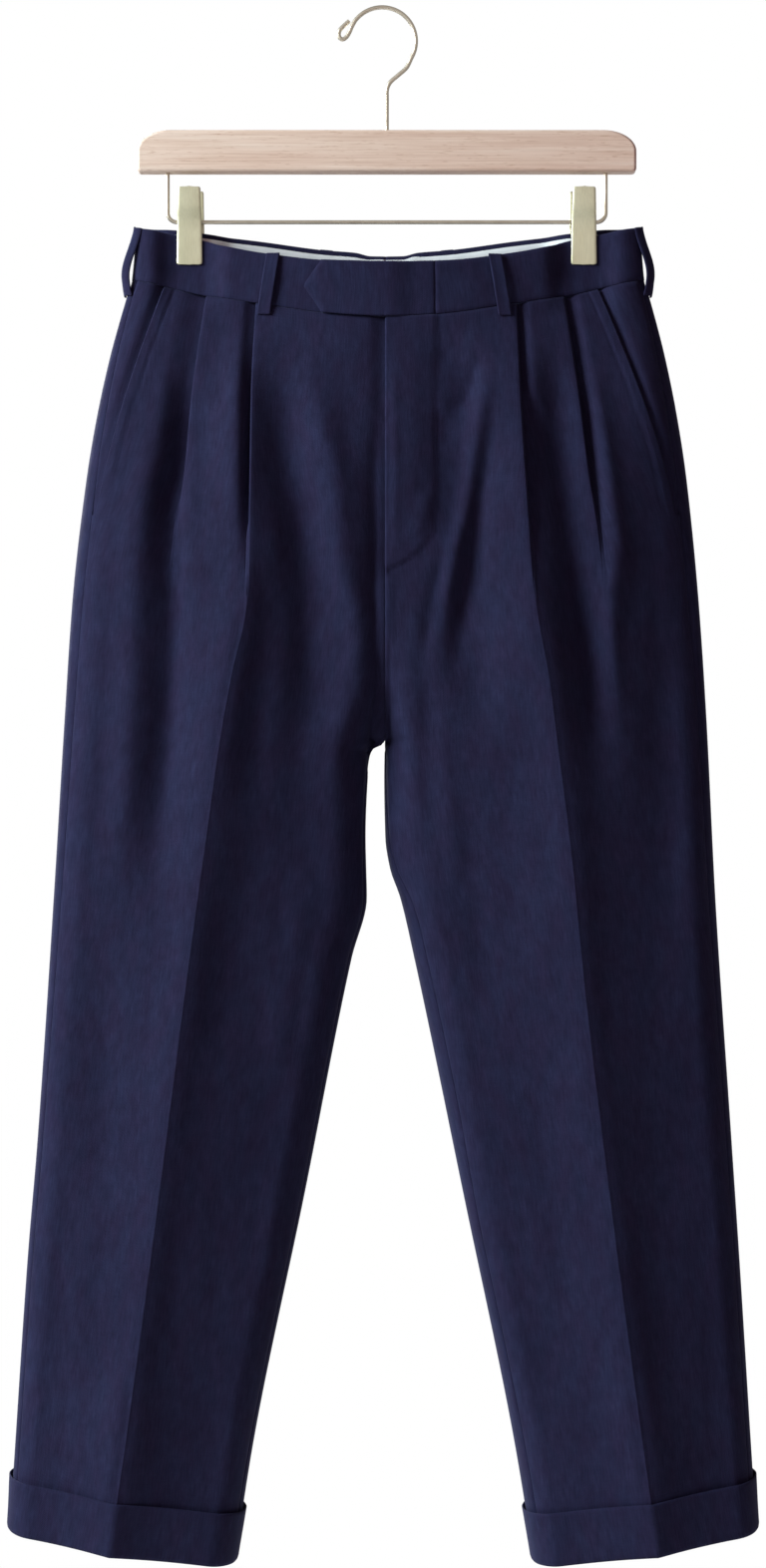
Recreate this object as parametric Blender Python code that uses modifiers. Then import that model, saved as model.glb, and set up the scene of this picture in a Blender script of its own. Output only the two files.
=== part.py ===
"""Pleated dress trousers hanging from a wooden clip hanger.

The origin is the inside top of the hanger's hook, where a rail carries it. The front faces -Y,
and +Z is up. Sizes are in millimetres until the points are made. "R" is the wearer's right leg,
at -X, and "L" the wearer's left. A side's own sideways coordinate, `out`, grows away from the
middle on both sides, and its depth, `fore`, grows from the plane of the side folds to the front.
"""

import math

import bmesh
import bpy
import numpy as np

MM = 0.001
SIDES = {"R": -1, "L": 1}
GAP = 0.3

# Cloth walls
CLOTH = 1.2
BAND_CLOTH = 1.4
LINING_CLOTH = 1.0
CUFF_CLOTH = 2.0
LOOP_CLOTH = 1.2

# Section of a leg: the share of the depth that the rounded side fold takes, and how wide it is
ROUND_SHARE = 0.62
ROUND_WIDTH = 0.22
FLANK_POWER = 1.15
HIP_POWER = 1.6
LEGS_PART = (-420.0, -551.0)

# Waistband, pinched flat under the clips
BAND_HEIGHT = 40.0
BAND_MIDDLE_Z = -190.0
CLIP_OUT = 148.0
PINCH_REACH = (10.5, 32.0)
PINCH_HEIGHTS = (-240.0, -192.0)
PINCHED = {"front": 2.0, "back": 2.2}

# How far the rows of the cloth follow the sagging waist, and the slant of the hem
WAIST_ROWS = (-350.0, -224.0)
HEM_ROWS = (-660.0, -1090.0)
HEM_SLOPE = 0.154
HEM_Z = -1148.0
CUFF_HEIGHT = 36.5
CROTCH_Z = -551.0

# Pleats: layer step of the folded cloth, and how far a fold's shadow side dips
LAYER = 1.6
UNFOLDED = 1.0
DIP_REACH = 24.0
PLEAT_CLEAR = 5.0

# Fly
FLY_UNDERLAP = 9.0
FLY_UNDERLAP_HEIGHTS = (-422.0, -404.0)
FLY_DROP = 2.4
FLY_DROP_HEIGHTS = (-440.0, -422.0)

# Waistband tab, from its upright seam to its point
TAB_SEAM_X = 36.0
TAB_SHOULDER_X = -48.5
TAB_POINT_X = -60.8
TAB_POINT_Z = -211.0
TAB_LIFT = 2.0
LINING_INSET = 1.9

# Belt loops
LOOP_WIDTH = 9.0
LOOP_BELOW_SEAM = 8.0
LOOP_LIFT = 1.7
LOOP_BOW = 1.8
SIDE_LOOP_LIFT = 2.4
SIDE_LOOP_BOW = 5.4
SIDE_LOOP_TURNS = (-0.3, -0.14, 0.0)
BACK_LOOP_OUT = 46.0
FRONT_LOOP_OUT = {"R": (84.5, 91.5), "L": (80.5, 87.9)}

# Hanger. A clip leaf's arm is given by height, distance from the middle plane and half width, and
# its jaw by that distance alone.
HOOK_WIRE = 1.6
HOOK_CENTRE = (-3.5, -23.54)
HOOK_RADIUS = 25.4
HOOK_ARC = (143.0, -30.0)
BAR_HALF_LENGTH = 187.3
BAR_TOP = -91.4
BAR_BOTTOM = -122.9
BAR_THICKNESS = 14.0
BAR_TOP_CORNER = (25.0, 16.0)
BAR_BOTTOM_CORNER = (3.0, 3.0)
BORE_CLEARANCE = 0.35
STEM_END = -112.0
RAIL_WIRE = 1.5
RAIL_OUT = 164.6
RAIL_Z = -159.7
RAIL_CORNER = 7.0
RAIL_END = -111.5
LEAF_METAL = 1.2
LEAF_ARM = ((-134.8, 9.4, 7.9), (-150.0, 7.4, 8.3), (-158.5, 4.7, 8.6))
LEAF_JAW = {"front": 3.75, "back": 3.95}
SPRING_RADII = (1.9, 2.9)
SPRING_LENGTH = 10.0


def smooth_step(start, end, value):
    """0 at `start`, 1 at `end`, with an easy slope between them."""
    share = np.clip((value - start) / (end - start), 0.0, 1.0)
    return float(share * share * (3.0 - 2.0 * share))


class Table:
    """Named columns over a first column, read between the rows by a curve that never overshoots."""

    def __init__(self, names, rows):
        data = np.array(sorted(rows), float)
        self.keys = data[:, 0]
        self.columns = {name: data[:, i] for i, name in enumerate(names.split())}
        self.slopes = {name: self.slopes_of(values) for name, values in self.columns.items()}

    def slopes_of(self, values):
        steps = np.diff(values) / np.diff(self.keys)
        slopes = np.zeros(len(values))
        for i in range(1, len(values) - 1):
            if steps[i - 1] * steps[i] > 0:
                slopes[i] = 2.0 / (1.0 / steps[i - 1] + 1.0 / steps[i])
        slopes[0] = steps[0]
        slopes[-1] = steps[-1]
        return slopes

    def at(self, name, key):
        values, slopes = self.columns[name], self.slopes[name]
        key = min(max(key, self.keys[0]), self.keys[-1])
        i = min(int(np.searchsorted(self.keys, key, "right")) - 1, len(values) - 2)
        width = self.keys[i + 1] - self.keys[i]
        t = (key - self.keys[i]) / width
        return float(
            values[i] * (1 + 2 * t) * (1 - t) ** 2
            + slopes[i] * width * t * (1 - t) ** 2
            + values[i + 1] * t * t * (3 - 2 * t)
            + slopes[i + 1] * width * t * t * (t - 1)
        )


# Outlines from the front. Each leg's outer fold, pressed crease and inner fold, by height.
OUTER = Table("z R L", [
    (-165, 187.5, 190.0), (-204, 191.0, 193.0), (-217, 195.0, 197.0), (-262, 207.5, 208.7),
    (-307, 217.3, 217.7), (-352, 224.8, 224.5), (-442, 235.3, 233.5), (-532, 241.3, 239.5),
    (-667, 249.5, 246.2), (-847, 261.5, 258.2), (-937, 269.0, 264.2), (-1095, 279.5, 274.0),
    (-1170, 284.5, 279.0),
])
CREASE = Table("z R L", [
    (-165, 92.0, 92.0), (-224, 97.1, 96.3), (-297, 100.2, 99.1), (-374, 101.0, 103.9),
    (-446, 102.9, 109.5), (-505, 114.8, 119.6), (-548, 122.4, 125.0), (-626, 133.5, 135.0),
    (-735, 148.4, 146.0), (-849, 162.9, 159.5), (-1036, 187.7, 183.8), (-1170, 207.0, 202.5),
])
INNER = Table("z R L", [
    (-165, 1.3, -0.7), (-547, 1.3, -0.7), (-551, 3.0, -0.8), (-557, 11.8, -1.0),
    (-577, 14.8, -1.3), (-622, 16.5, -0.5), (-645, 16.0, 3.0), (-667, 15.5, 10.7),
    (-712, 26.8, 21.2), (-892, 62.8, 58.7), (-1072, 100.0, 95.8), (-1170, 115.5, 112.0),
])
# Depth of the front and the back at the crease and at the middle.
DEPTH = Table("z front_crease front_middle back_crease back_middle", [
    (-165, 12.0, 20.0, 11.0, 16.0), (-190, 13.5, 21.0, 13.0, 18.0), (-231, 18.5, 24.0, 20.0, 22.5),
    (-260, 26.0, 27.0, 29.0, 27.0), (-297, 34.0, 31.0, 38.0, 34.0), (-374, 42.0, 35.0, 48.0, 42.0),
    (-450, 45.0, 34.0, 52.0, 40.0), (-500, 46.0, 27.0, 51.0, 31.0), (-530, 46.0, 17.0, 49.0, 20.0),
    (-545, 46.0, 8.5, 48.0, 10.0), (-551, 46.0, 1.6, 48.0, 1.6), (-560, 46.0, 0.0, 48.0, 0.0),
    (-850, 46.0, 0.0, 45.0, 0.0), (-1108, 49.0, 0.0, 48.0, 0.0), (-1170, 49.0, 0.0, 48.0, 0.0),
])
# Width of the level valley beside the middle seam, which widens towards the crotch.
VALLEY = Table("z R L", [
    (-165, 3.5, 3.5), (-450, 3.5, 3.5), (-500, 6.0, 3.5), (-547, 11.5, 3.2), (-557, 3.0, 0.0),
    (-577, 0.0, 0.0), (-1170, 0.0, 0.0),
])
# Heights along the waistband, by distance from the middle.
BAND = Table("out front_top front_seam back_top", [
    (0, -193.5, -233.9, -183.0), (12, -193.4, -233.6, -182.8), (24, -193.0, -233.0, -180.2),
    (48, -191.9, -230.9, -178.5), (93, -185.5, -223.6, -173.2), (135, -174.5, -216.2, -168.9),
    (165, -169.3, -209.2, -165.5), (192, -164.5, -203.6, -164.0),
])
# Outer pleat of each front: the place of its fold edge, by height.
OUTER_PLEAT = Table("z R L", [
    (-216, 134.8, 132.2), (-296, 145.0, 143.1), (-348, 149.7, 149.2), (-400, 156.9, 157.5),
    (-1170, 238.0, 234.0),
])
# How far each pleat's cloth runs under its fold edge, and the step between its layers.
OUTER_FOLD = Table("z under step", [
    (-216, 10.5, LAYER), (-300, 6.5, LAYER), (-352, 1.5, LAYER), (-368, 0.0, LAYER),
    (-384, -2.0, 1.1), (-440, -2.0, 0.0), (-1170, -2.0, 0.0),
])
INNER_FOLD = Table("z under step", [
    (-223, 13.0, LAYER), (-300, 9.0, LAYER), (-362, 2.5, LAYER), (-386, 0.0, LAYER),
    (-402, -2.0, 1.1), (-460, -2.0, 0.0), (-1170, -2.0, 0.0),
])
# Slanted pocket mouth, and how far inside the outer fold the side seam lies on the front.
POCKET_MOUTH = Table("z R L", [
    (-208, 166.0, 157.0), (-215, 168.5, 159.8), (-300, 196.5, 192.0), (-345, 208.4, 206.4),
    (-380, 216.2, 214.4),
])
SIDE_SEAM_IN = Table("z R L", [
    (-204, 4.0, 4.0), (-300, 7.5, 8.5), (-400, 9.6, 9.6), (-560, 8.2, 7.5), (-860, 5.5, 5.5),
    (-1170, 5.0, 5.0),
])
INSEAM_IN = Table("z R L", [
    (-551, 0.6, 0.6), (-620, 1.5, 2.5), (-690, 2.0, 9.0), (-800, 2.0, 9.5), (-920, 2.0, 7.0),
    (-1170, 2.5, 7.0),
])
POCKET_END = -381.0
FACING_INSET = 1.9

# Rows of the cloth. Each front and back is two solids, one round the hips and one down the leg.
LEG_TOP = -478.0
HIP_ROWS = (-223.5, -240, -262, -297, -335, -374, -386, -404, -422, -440, LEG_TOP + GAP / 2)
LEG_ROWS = (
    LEG_TOP - GAP / 2, -510, -532, -545, -551, -557, -577, -622, -667, -720, -800, -900, -1010,
    HEM_Z + CUFF_HEIGHT, HEM_Z,
)
POCKET_ROWS = HIP_ROWS[:6]
BAND_SHARES = (0.0, 0.33, 0.66, 1.0)


def clear_scene():
    for obj in list(bpy.data.objects):
        bpy.data.objects.remove(obj, do_unlink=True)


def new_collection(name, hidden=False):
    collection = bpy.data.collections.new(name)
    bpy.context.scene.collection.children.link(collection)
    collection.hide_render = hidden
    return collection


def new_material(name, color, roughness, metallic=0.0):
    material = bpy.data.materials.new(name)
    material.use_nodes = True
    shader = material.node_tree.nodes["Principled BSDF"]
    shader.inputs["Base Color"].default_value = (*color, 1.0)
    shader.inputs["Roughness"].default_value = roughness
    shader.inputs["Metallic"].default_value = metallic
    return material


def flank(share):
    """Depth from the side fold, at share 0, to the pressed crease, at share 1."""
    share = min(max(share, 0.0), 1.0)
    rounding = math.sqrt(1.0 - (1.0 - min(1.0, share / ROUND_WIDTH)) ** 2)
    return ROUND_SHARE * rounding + (1.0 - ROUND_SHARE) * share**FLANK_POWER


def depth(side, face, out, z):
    """Distance of the cloth's mid surface from the plane of the side folds."""
    outer, crease, inner = (table.at(side, z) for table in (OUTER, CREASE, INNER))
    at_crease = DEPTH.at(face + "_crease", z)
    at_middle = DEPTH.at(face + "_middle", z)
    if out > crease:
        result = at_crease * flank((outer - out) / (outer - crease))
    else:
        valley = inner + VALLEY.at(side, z)
        share = min(max((out - valley) / (crease - valley), 0.0), 1.0)
        legs = smooth_step(*LEGS_PART, z)
        profile = legs * flank(share) + (1.0 - legs) * share**HIP_POWER
        result = at_middle + (at_crease - at_middle) * profile
    pinch = smooth_step(*PINCH_HEIGHTS, z) * (1.0 - smooth_step(*PINCH_REACH, abs(out - CLIP_OUT)))
    return result + (PINCHED[face] - result) * pinch


def out_at(side, turn, z):
    """Sideways place on a ring: turn -2 front middle, -1 front crease, 0 outer fold, 1 and 2 behind."""
    outer, crease, inner = (table.at(side, z) for table in (OUTER, CREASE, INNER))
    if abs(turn) <= 1.0:
        return outer - (outer - crease) * turn * turn
    share = max(2.0 - abs(turn), 0.0)
    legs = smooth_step(*LEGS_PART, z)
    return inner + (crease - inner) * (legs * share * share + (1.0 - legs) * share)


def ring_point(side, turn, z):
    """(out, fore) on the ring of a leg or of the hips; beyond 2 it comes round to the front again."""
    if turn > 2.0:
        turn = turn - 4.0
    face = "front" if turn < 0.0 else "back"
    out = out_at(side, turn, z)
    fore = depth(side, face, out, z)
    return out, fore if face == "front" else -fore


def moved_out(line, lift, closed=False):
    """A row of (out, fore, z) points moved off the cloth, along the normals of the row in plan."""
    flat = np.array(line)[:, :2]
    ahead, behind = np.roll(flat, -1, axis=0), np.roll(flat, 1, axis=0)
    if not closed:
        ahead[-1], behind[0] = flat[-1], flat[0]
    before, after = flat - behind, ahead - flat
    normals = np.zeros_like(flat)
    for run in (before, after):
        length = np.linalg.norm(run, axis=1)
        length[length == 0.0] = 1.0
        normals += np.stack((run[:, 1], -run[:, 0]), axis=1) / length[:, None]
    normals /= np.linalg.norm(normals, axis=1)[:, None]
    lifts = np.broadcast_to(lift, len(flat))
    moved = flat - normals * lifts[:, None]
    return [(out, fore, z) for (out, fore), (_, _, z) in zip(moved, line)]


def front_lifted(side, out, z, lift):
    """A place on the front, moved forwards off the cloth by `lift`."""
    slope = depth(side, "front", out + 0.5, z) - depth(side, "front", out - 0.5, z)
    length = math.hypot(1.0, slope)
    return out - lift * slope / length, depth(side, "front", out, z) + lift / length


def row_height(face, side, row, out):
    """Height of a point of a row: the top rows follow the waist seam, the last ones the hem."""
    seam = BAND.at("front_seam", out) if face == "front" else back_seam(out)
    crease = CREASE.at(side, row)
    waist = smooth_step(*WAIST_ROWS, row)
    hem = smooth_step(*HEM_ROWS, row)
    middle = BAND.at("front_seam", 97.0)
    return row + waist * (seam - GAP - middle) + hem * HEM_SLOPE * (out - crease)


def back_seam(out):
    return BAND.at("back_top", out) - BAND_HEIGHT


def world(side, out, fore, z):
    return (SIDES[side] * out * MM, -fore * MM, z * MM)


def world_rows(side, rows):
    return [[world(side, *point) for point in line] for line in rows]


def add_object(name, mesh, material, collection):
    obj = bpy.data.objects.new(name, mesh)
    obj.data.materials.append(material)
    collection.objects.link(obj)
    return obj


def cloth(name, points, thickness, material, collection, round_tube=False):
    """A wall of even thickness about a grid of world points, one list for each row."""
    rows, columns = len(points), len(points[0])
    shape = bmesh.new()
    bmesh.ops.create_grid(shape, x_segments=columns - 1, y_segments=rows - 1, size=1.0)
    for vert in shape.verts:
        column = round((vert.co.x + 1.0) / 2.0 * (columns - 1))
        row = round((vert.co.y + 1.0) / 2.0 * (rows - 1))
        vert.co = points[row][column]
    if round_tube:
        bmesh.ops.remove_doubles(shape, verts=shape.verts, dist=0.00001)
    bmesh.ops.recalc_face_normals(shape, faces=shape.faces)
    mesh = bpy.data.meshes.new(name)
    shape.to_mesh(mesh)
    shape.free()
    mesh.shade_smooth()
    obj = add_object(name, mesh, material, collection)
    wall = obj.modifiers.new("Wall", "SOLIDIFY")
    wall.thickness = thickness * MM
    wall.offset = 0.0
    return obj


def between(start, end, shares):
    return [start + (end - start) * share for share in shares]


def dip(distance, step):
    """How far the outer cloth drops towards the fold edge that covers it."""
    return 2.6 * step * (1.0 - smooth_step(0.0, DIP_REACH, distance))


def pleat(fold, table, z):
    """Four columns through a pleat: under turn, and fold edge, each as (out, drop below the face)."""
    under, step = table.at("under", z), table.at("step", z)
    spread = UNFOLDED * (1.0 - step / LAYER)
    return [
        (fold - under, 2.6 * step),
        (fold - under - spread, 1.6 * step),
        (fold, 1.0 * step),
        (fold - spread, 0.0),
    ]


def fly_drop(side, out, z):
    """The right front dips behind the left one along the fly."""
    if side == "L":
        return 0.0
    return FLY_DROP * smooth_step(*FLY_DROP_HEIGHTS, z) * (1.0 - smooth_step(2.0, 14.0, out))


def front_columns(side, z):
    """The front's columns at a height, from the pocket or side seam to the middle or inseam."""
    crease, inner = CREASE.at(side, z), INNER.at(side, z)
    start = seam_out(side, z) - GAP
    if z > POCKET_END:
        start = min(POCKET_MOUTH.at(side, z), start)
    fold = OUTER_PLEAT.at(side, z)
    step = OUTER_FOLD.at("step", z)
    outs = between(start, fold + PLEAT_CLEAR, (0, 0.3, 0.65, 1))
    columns = [(out, dip(out - fold, step)) for out in outs]
    columns += pleat(fold, OUTER_FOLD, z)
    step = INNER_FOLD.at("step", z)
    outs = between(columns[-1][0], crease + PLEAT_CLEAR, (0.4, 0.8, 1))
    columns += [(out, dip(out - crease, step)) for out in outs]
    columns += pleat(crease, INNER_FOLD, z)
    if z > CROTCH_Z:
        end = inner
        if side == "R":
            end -= FLY_UNDERLAP * smooth_step(*FLY_UNDERLAP_HEIGHTS, z)
    else:
        end = inner + INSEAM_IN.at(side, z) + GAP
    outs = between(columns[-1][0], end, (0.25, 0.5, 0.72, 0.88, 0.97, 1))
    columns += [(out, fly_drop(side, out, z)) for out in outs]
    return columns


def front_line(side, row):
    """A row of the front as (out, fore, z) points."""
    line = []
    for i, (out, _) in enumerate(front_columns(side, row)):
        for _ in range(3):
            z = row_height("front", side, row, out)
            out, drop = front_columns(side, z)[i]
        line.append((out, depth(side, "front", out, z) - drop, z))
    return line


def seam_out(side, z):
    return OUTER.at(side, z) - SIDE_SEAM_IN.at(side, z)


def back_turns(side, z):
    """The back's columns: from the side seam round the outer fold, across, and round the inner one."""
    crease, inner = CREASE.at(side, z), INNER.at(side, z)
    seam = (SIDE_SEAM_IN.at(side, z) - GAP) / (OUTER.at(side, z) - crease)
    side_turn = math.sqrt(seam)
    inseam = max(INSEAM_IN.at(side, z) - GAP, 0.0) / (crease - inner)
    inner_turn = smooth_step(CROTCH_Z, CROTCH_Z - 6.0, z) * math.sqrt(inseam)
    across = (0.12, 0.28, 0.5, 0.75, 1.0, 1.22, 1.45, 1.65, 1.82, 1.92)
    return [-side_turn, -side_turn * 0.5, 0.0, *across, 1.97 + inner_turn * 0.4, 2.0 + inner_turn]


def back_line(side, row):
    """A row of the back as (out, fore, z) points."""
    line = []
    for i, turn in enumerate(back_turns(side, row)):
        out = ring_point(side, turn, row)[0]
        for _ in range(3):
            face = "front" if turn < 0.0 or turn > 2.0 else "back"
            z = row_height(face, side, row, out)
            turn = back_turns(side, z)[i]
            out, fore = ring_point(side, turn, z)
        line.append((out, fore, z))
    return line


def facing_line(side, row):
    """The pocket's side piece: level with the side seam, and running in under the pocket mouth."""
    front = front_line(side, row)
    mouth = front[0]
    line = []
    for share in (0.0, 0.35, 0.7):
        out = mouth[0]
        for _ in range(3):
            z = row_height("front", side, row, out)
            out = seam_out(side, z) - GAP
            out += (min(mouth[0], out - 3.0) - out) * share
        line.append((out, depth(side, "front", out, z), z))
    first = 1.0 - smooth_step(4.0, 12.0, line[0][0] - mouth[0])
    insets = FACING_INSET * np.array((first, max(first, 0.8), 1.0, 1.0, 1.0))
    return moved_out([*line, mouth, front[1]], -insets)


def band_line(side, turns, share):
    """A row of the waistband: share 0 at its top edge and 1 at the waist seam."""
    line = []
    for turn in turns:
        face = "front" if turn < 0.0 else "back"
        out = ring_point(side, turn, BAND_MIDDLE_Z)[0]
        for _ in range(3):
            bottom = (BAND.at("front_seam", out) if face == "front" else back_seam(out)) + GAP
            z = BAND.at(face + "_top", out)
            z += (bottom - z) * share
            out, fore = ring_point(side, turn, z)
        line.append((out, fore, z))
    return line


def turn_of(side, out, face):
    """The ring turn at which the waistband is this far from the middle."""
    outer, crease, inner = (table.at(side, BAND_MIDDLE_Z) for table in (OUTER, CREASE, INNER))
    if out > crease:
        turn = math.sqrt((outer - out) / (outer - crease))
    else:
        turn = 2.0 - (out - inner) / (crease - inner)
    return -turn if face == "front" else turn


def band_turns(side):
    """Columns of the waistband, from the tab round the side to the middle of the back."""
    crease = CREASE.at(side, BAND_MIDDLE_Z)
    start = INNER.at(side, BAND_MIDDLE_Z) + 0.4 if side == "R" else TAB_SEAM_X + GAP
    pinch = [CLIP_OUT + reach for reach in (-36.0, -22.0, -PINCH_REACH[0], 0.0, PINCH_REACH[0], 22.0)]
    front = [*between(start, crease, (0, 0.35, 0.7, 1)), *pinch]
    back = [*reversed(pinch), crease, 60.0, 32.0, 14.0]
    front_turns = [turn_of(side, out, "front") for out in front]
    return [*front_turns, *SIDE_LOOP_TURNS, 0.14, *(turn_of(side, out, "back") for out in back), 1.994]


def lining_rows(side):
    """The pale lining hangs just inside the back half of the waistband."""
    turns = [turn for turn in band_turns(side) if turn > 0.14]
    rows = [np.array(band_line(side, turns, share)) for share in BAND_SHARES]
    rows[0] += (rows[1] - rows[0]) * 0.22
    rows[-1] += (rows[-2] - rows[-1]) * 0.05
    return [moved_out(line, -LINING_INSET) for line in rows]


def tab_rows():
    """The tab runs from its seam on the left front, over the fly, to a blunt point on the right."""
    columns = between(TAB_SEAM_X - GAP, 0.0, (0, 0.4, 0.75, 1)) + [-6.0, -20.0, -34.0, TAB_SHOULDER_X]
    rows = []
    for share in BAND_SHARES:
        line = []
        for x in [*columns, TAB_POINT_X]:
            top, bottom = BAND.at("front_top", abs(x)), BAND.at("front_seam", abs(x)) + GAP
            if x == TAB_POINT_X:
                top, bottom = TAB_POINT_Z + 1.5, TAB_POINT_Z - 1.5
            z = top + (bottom - top) * share
            side = "L" if x >= 0.0 else "R"
            lift = TAB_LIFT * (1.0 - smooth_step(0.5, 10.0, x))
            out, fore = front_lifted(side, abs(x), z, lift)
            line.append((out * SIDES[side], fore, z))
        rows.append(line)
    return rows


def front_loop_rows(side, top_out, bottom_out):
    """A belt loop on the front, bowed a little off the waistband."""
    rows = []
    for share in np.linspace(0.0, 1.0, 8):
        middle = top_out + (bottom_out - top_out) * share
        top = BAND.at("front_top", middle) + 1.0
        bottom = BAND.at("front_seam", middle) - LOOP_BELOW_SEAM
        z = top + (bottom - top) * share
        lift = LOOP_LIFT + LOOP_BOW * math.sin(math.pi * share)
        line = []
        for across in (-0.5, 0.0, 0.5):
            out, fore = front_lifted(side, middle + across * LOOP_WIDTH, z, lift)
            line.append((out, fore, z))
        rows.append(line)
    return rows


def ring_loop_rows(side, turns, lift, bow):
    """A belt loop on the side or the back, from the waistband's top edge to below the seam."""
    rows = []
    for share in np.linspace(0.0, 1.0, 8):
        line = band_line(side, turns, -0.02 + (BAND_HEIGHT + LOOP_BELOW_SEAM) / BAND_HEIGHT * share)
        rows.append(moved_out(line, lift + bow * math.sin(math.pi * share**0.9)))
    return rows


def back_loop_turns(side):
    outs = [BACK_LOOP_OUT + across * LOOP_WIDTH for across in (0.5, 0.0, -0.5)]
    return [turn_of(side, out, "back") for out in outs]


def cuff_rows(side):
    """The turn-up: a closed ring made from the leg's own points, just clear of it."""
    lift = (CLOTH + CUFF_CLOTH) / 2.0 + GAP
    rows = []
    for row in LEG_ROWS[-2:]:
        ring = [*front_line(side, row), *reversed(back_line(side, row))]
        rows.append(moved_out(ring, -lift, closed=True))
    top, bottom = (np.array(line) for line in rows)
    rows.insert(1, [tuple(point) for point in (top + bottom) / 2.0])
    return [[*line, line[0]] for line in rows]


def smooth_path(knots, steps):
    """Points of a smooth curve through the knots."""
    knots = [np.array(knot, float) for knot in knots]
    padded = [2 * knots[0] - knots[1], *knots, 2 * knots[-1] - knots[-2]]
    points = []
    for a, b, c, d in zip(padded, padded[1:], padded[2:], padded[3:]):
        for t in np.linspace(0.0, 1.0, steps, endpoint=False):
            bend = 2 * b + (c - a) * t + (2 * a - 5 * b + 4 * c - d) * t**2
            points.append((bend + (3 * b - a - 3 * c + d) * t**3) / 2)
    return [*points, knots[-1]]


def arc(centre, radii, start, end, count):
    """Points of an arc in the plane of the hanger, angles in degrees from +X towards +Z."""
    return [
        (centre[0] + radii[0] * math.cos(a), centre[1] + radii[1] * math.sin(a))
        for a in np.radians(np.linspace(start, end, count))
    ]


def wire(name, path, radius, material, collection):
    """A round wire through (x, z) points in the hanger's plane."""
    curve = bpy.data.curves.new(name, "CURVE")
    curve.dimensions = "3D"
    curve.bevel_depth = radius * MM
    curve.bevel_resolution = 2
    curve.use_fill_caps = True
    spline = curve.splines.new("POLY")
    spline.points.add(len(path) - 1)
    for point, (x, z) in zip(spline.points, path):
        point.co = (x * MM, 0.0, z * MM, 1.0)
    return add_object(name, curve, material, collection)


def hook_path():
    start = arc(HOOK_CENTRE, (HOOK_RADIUS, HOOK_RADIUS), *HOOK_ARC, 22)
    eye = [
        (-28.2, -8.4), (-32.0, -11.8), (-35.4, -15.6), (-36.0, -19.6), (-33.6, -22.2),
        (-30.6, -20.8), (-28.2, -17.2), (-26.3, -12.8), start[0],
    ]
    neck = [start[-1], (14.8, -43.6), (8.4, -49.4), (2.6, -54.6), (0.2, -60.0), (0.0, -66.0)]
    return [*smooth_path(eye, 3)[:-1], *start[:-1], *smooth_path(neck, 3), (0.0, -80.0), (0.0, STEM_END)]


def rail_path():
    corner = RAIL_OUT - RAIL_CORNER
    left = arc((-corner, RAIL_Z + RAIL_CORNER), (RAIL_CORNER, RAIL_CORNER), 180, 270, 6)
    right = arc((corner, RAIL_Z + RAIL_CORNER), (RAIL_CORNER, RAIL_CORNER), 270, 360, 6)
    return [(-RAIL_OUT, RAIL_END), *left, *right, (RAIL_OUT, RAIL_END)]


def bore(name, x, bottom, top, radius, collection):
    """A cutter for the hole that a wire sits in."""
    shape = bmesh.new()
    bmesh.ops.create_cone(
        shape, cap_ends=True, segments=16, radius1=radius * MM, radius2=radius * MM,
        depth=(top - bottom) * MM,
    )
    mesh = bpy.data.meshes.new(name)
    shape.to_mesh(mesh)
    shape.free()
    cutter = bpy.data.objects.new(name, mesh)
    cutter.location = (x * MM, 0.0, (top + bottom) / 2 * MM)
    cutter.hide_render = True
    cutter.display_type = "WIRE"
    collection.objects.link(cutter)
    return cutter


def bar_outline():
    """The bar from the front, counter-clockwise from its lower left corner."""
    across, up = BAR_TOP_CORNER
    small, low = BAR_BOTTOM_CORNER
    points = arc((-BAR_HALF_LENGTH + small, BAR_BOTTOM + low), (small, low), 180, 270, 4)
    points += arc((BAR_HALF_LENGTH - small, BAR_BOTTOM + low), (small, low), 270, 360, 4)
    points += arc((BAR_HALF_LENGTH - across, BAR_TOP - up), (across, up), 0, 90, 9)
    points += arc((-BAR_HALF_LENGTH + across, BAR_TOP - up), (across, up), 90, 180, 9)
    return points


def hanger_bar(material, collection, cutters):
    shape = bmesh.new()
    outline = [shape.verts.new((x * MM, 0.0, z * MM)) for x, z in bar_outline()]
    shape.faces.new(outline)
    mesh = bpy.data.meshes.new("hanger_bar")
    shape.to_mesh(mesh)
    shape.free()
    obj = add_object("hanger_bar", mesh, material, collection)
    thick = obj.modifiers.new("Thickness", "SOLIDIFY")
    thick.thickness = BAR_THICKNESS * MM
    thick.offset = 0.0
    soften = obj.modifiers.new("Edges", "BEVEL")
    soften.width = 1.6 * MM
    soften.segments = 2
    soften.limit_method = "ANGLE"
    soften.angle_limit = math.radians(60)
    holes = [
        bore("stem_bore", 0.0, STEM_END - 1.0, BAR_TOP + 5.0, HOOK_WIRE + BORE_CLEARANCE, cutters)
    ]
    for side, sign in SIDES.items():
        radius = RAIL_WIRE + BORE_CLEARANCE
        holes.append(
            bore("rail_bore_" + side, sign * RAIL_OUT, BAR_BOTTOM - 5.0, RAIL_END + 1.0, radius, cutters)
        )
    for hole in holes:
        cut = obj.modifiers.new(hole.name, "BOOLEAN")
        cut.operation = "DIFFERENCE"
        cut.object = hole


def clip_leaf(side, face, material, collection):
    middle = SIDES[side] * CLIP_OUT
    facing = -1 if face == "front" else 1
    jaw = LEAF_JAW[face]
    points = []
    for z, away, half in [*LEAF_ARM, (-166.0, jaw, 8.8), (-191.9, jaw, 9.2)]:
        y = facing * away
        points.append([((middle + across * half) * MM, y * MM, z * MM) for across in (-1, 0, 1)])
    cloth("clip_%s_leaf_%s" % (face, side), points, LEAF_METAL, material, collection)


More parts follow.
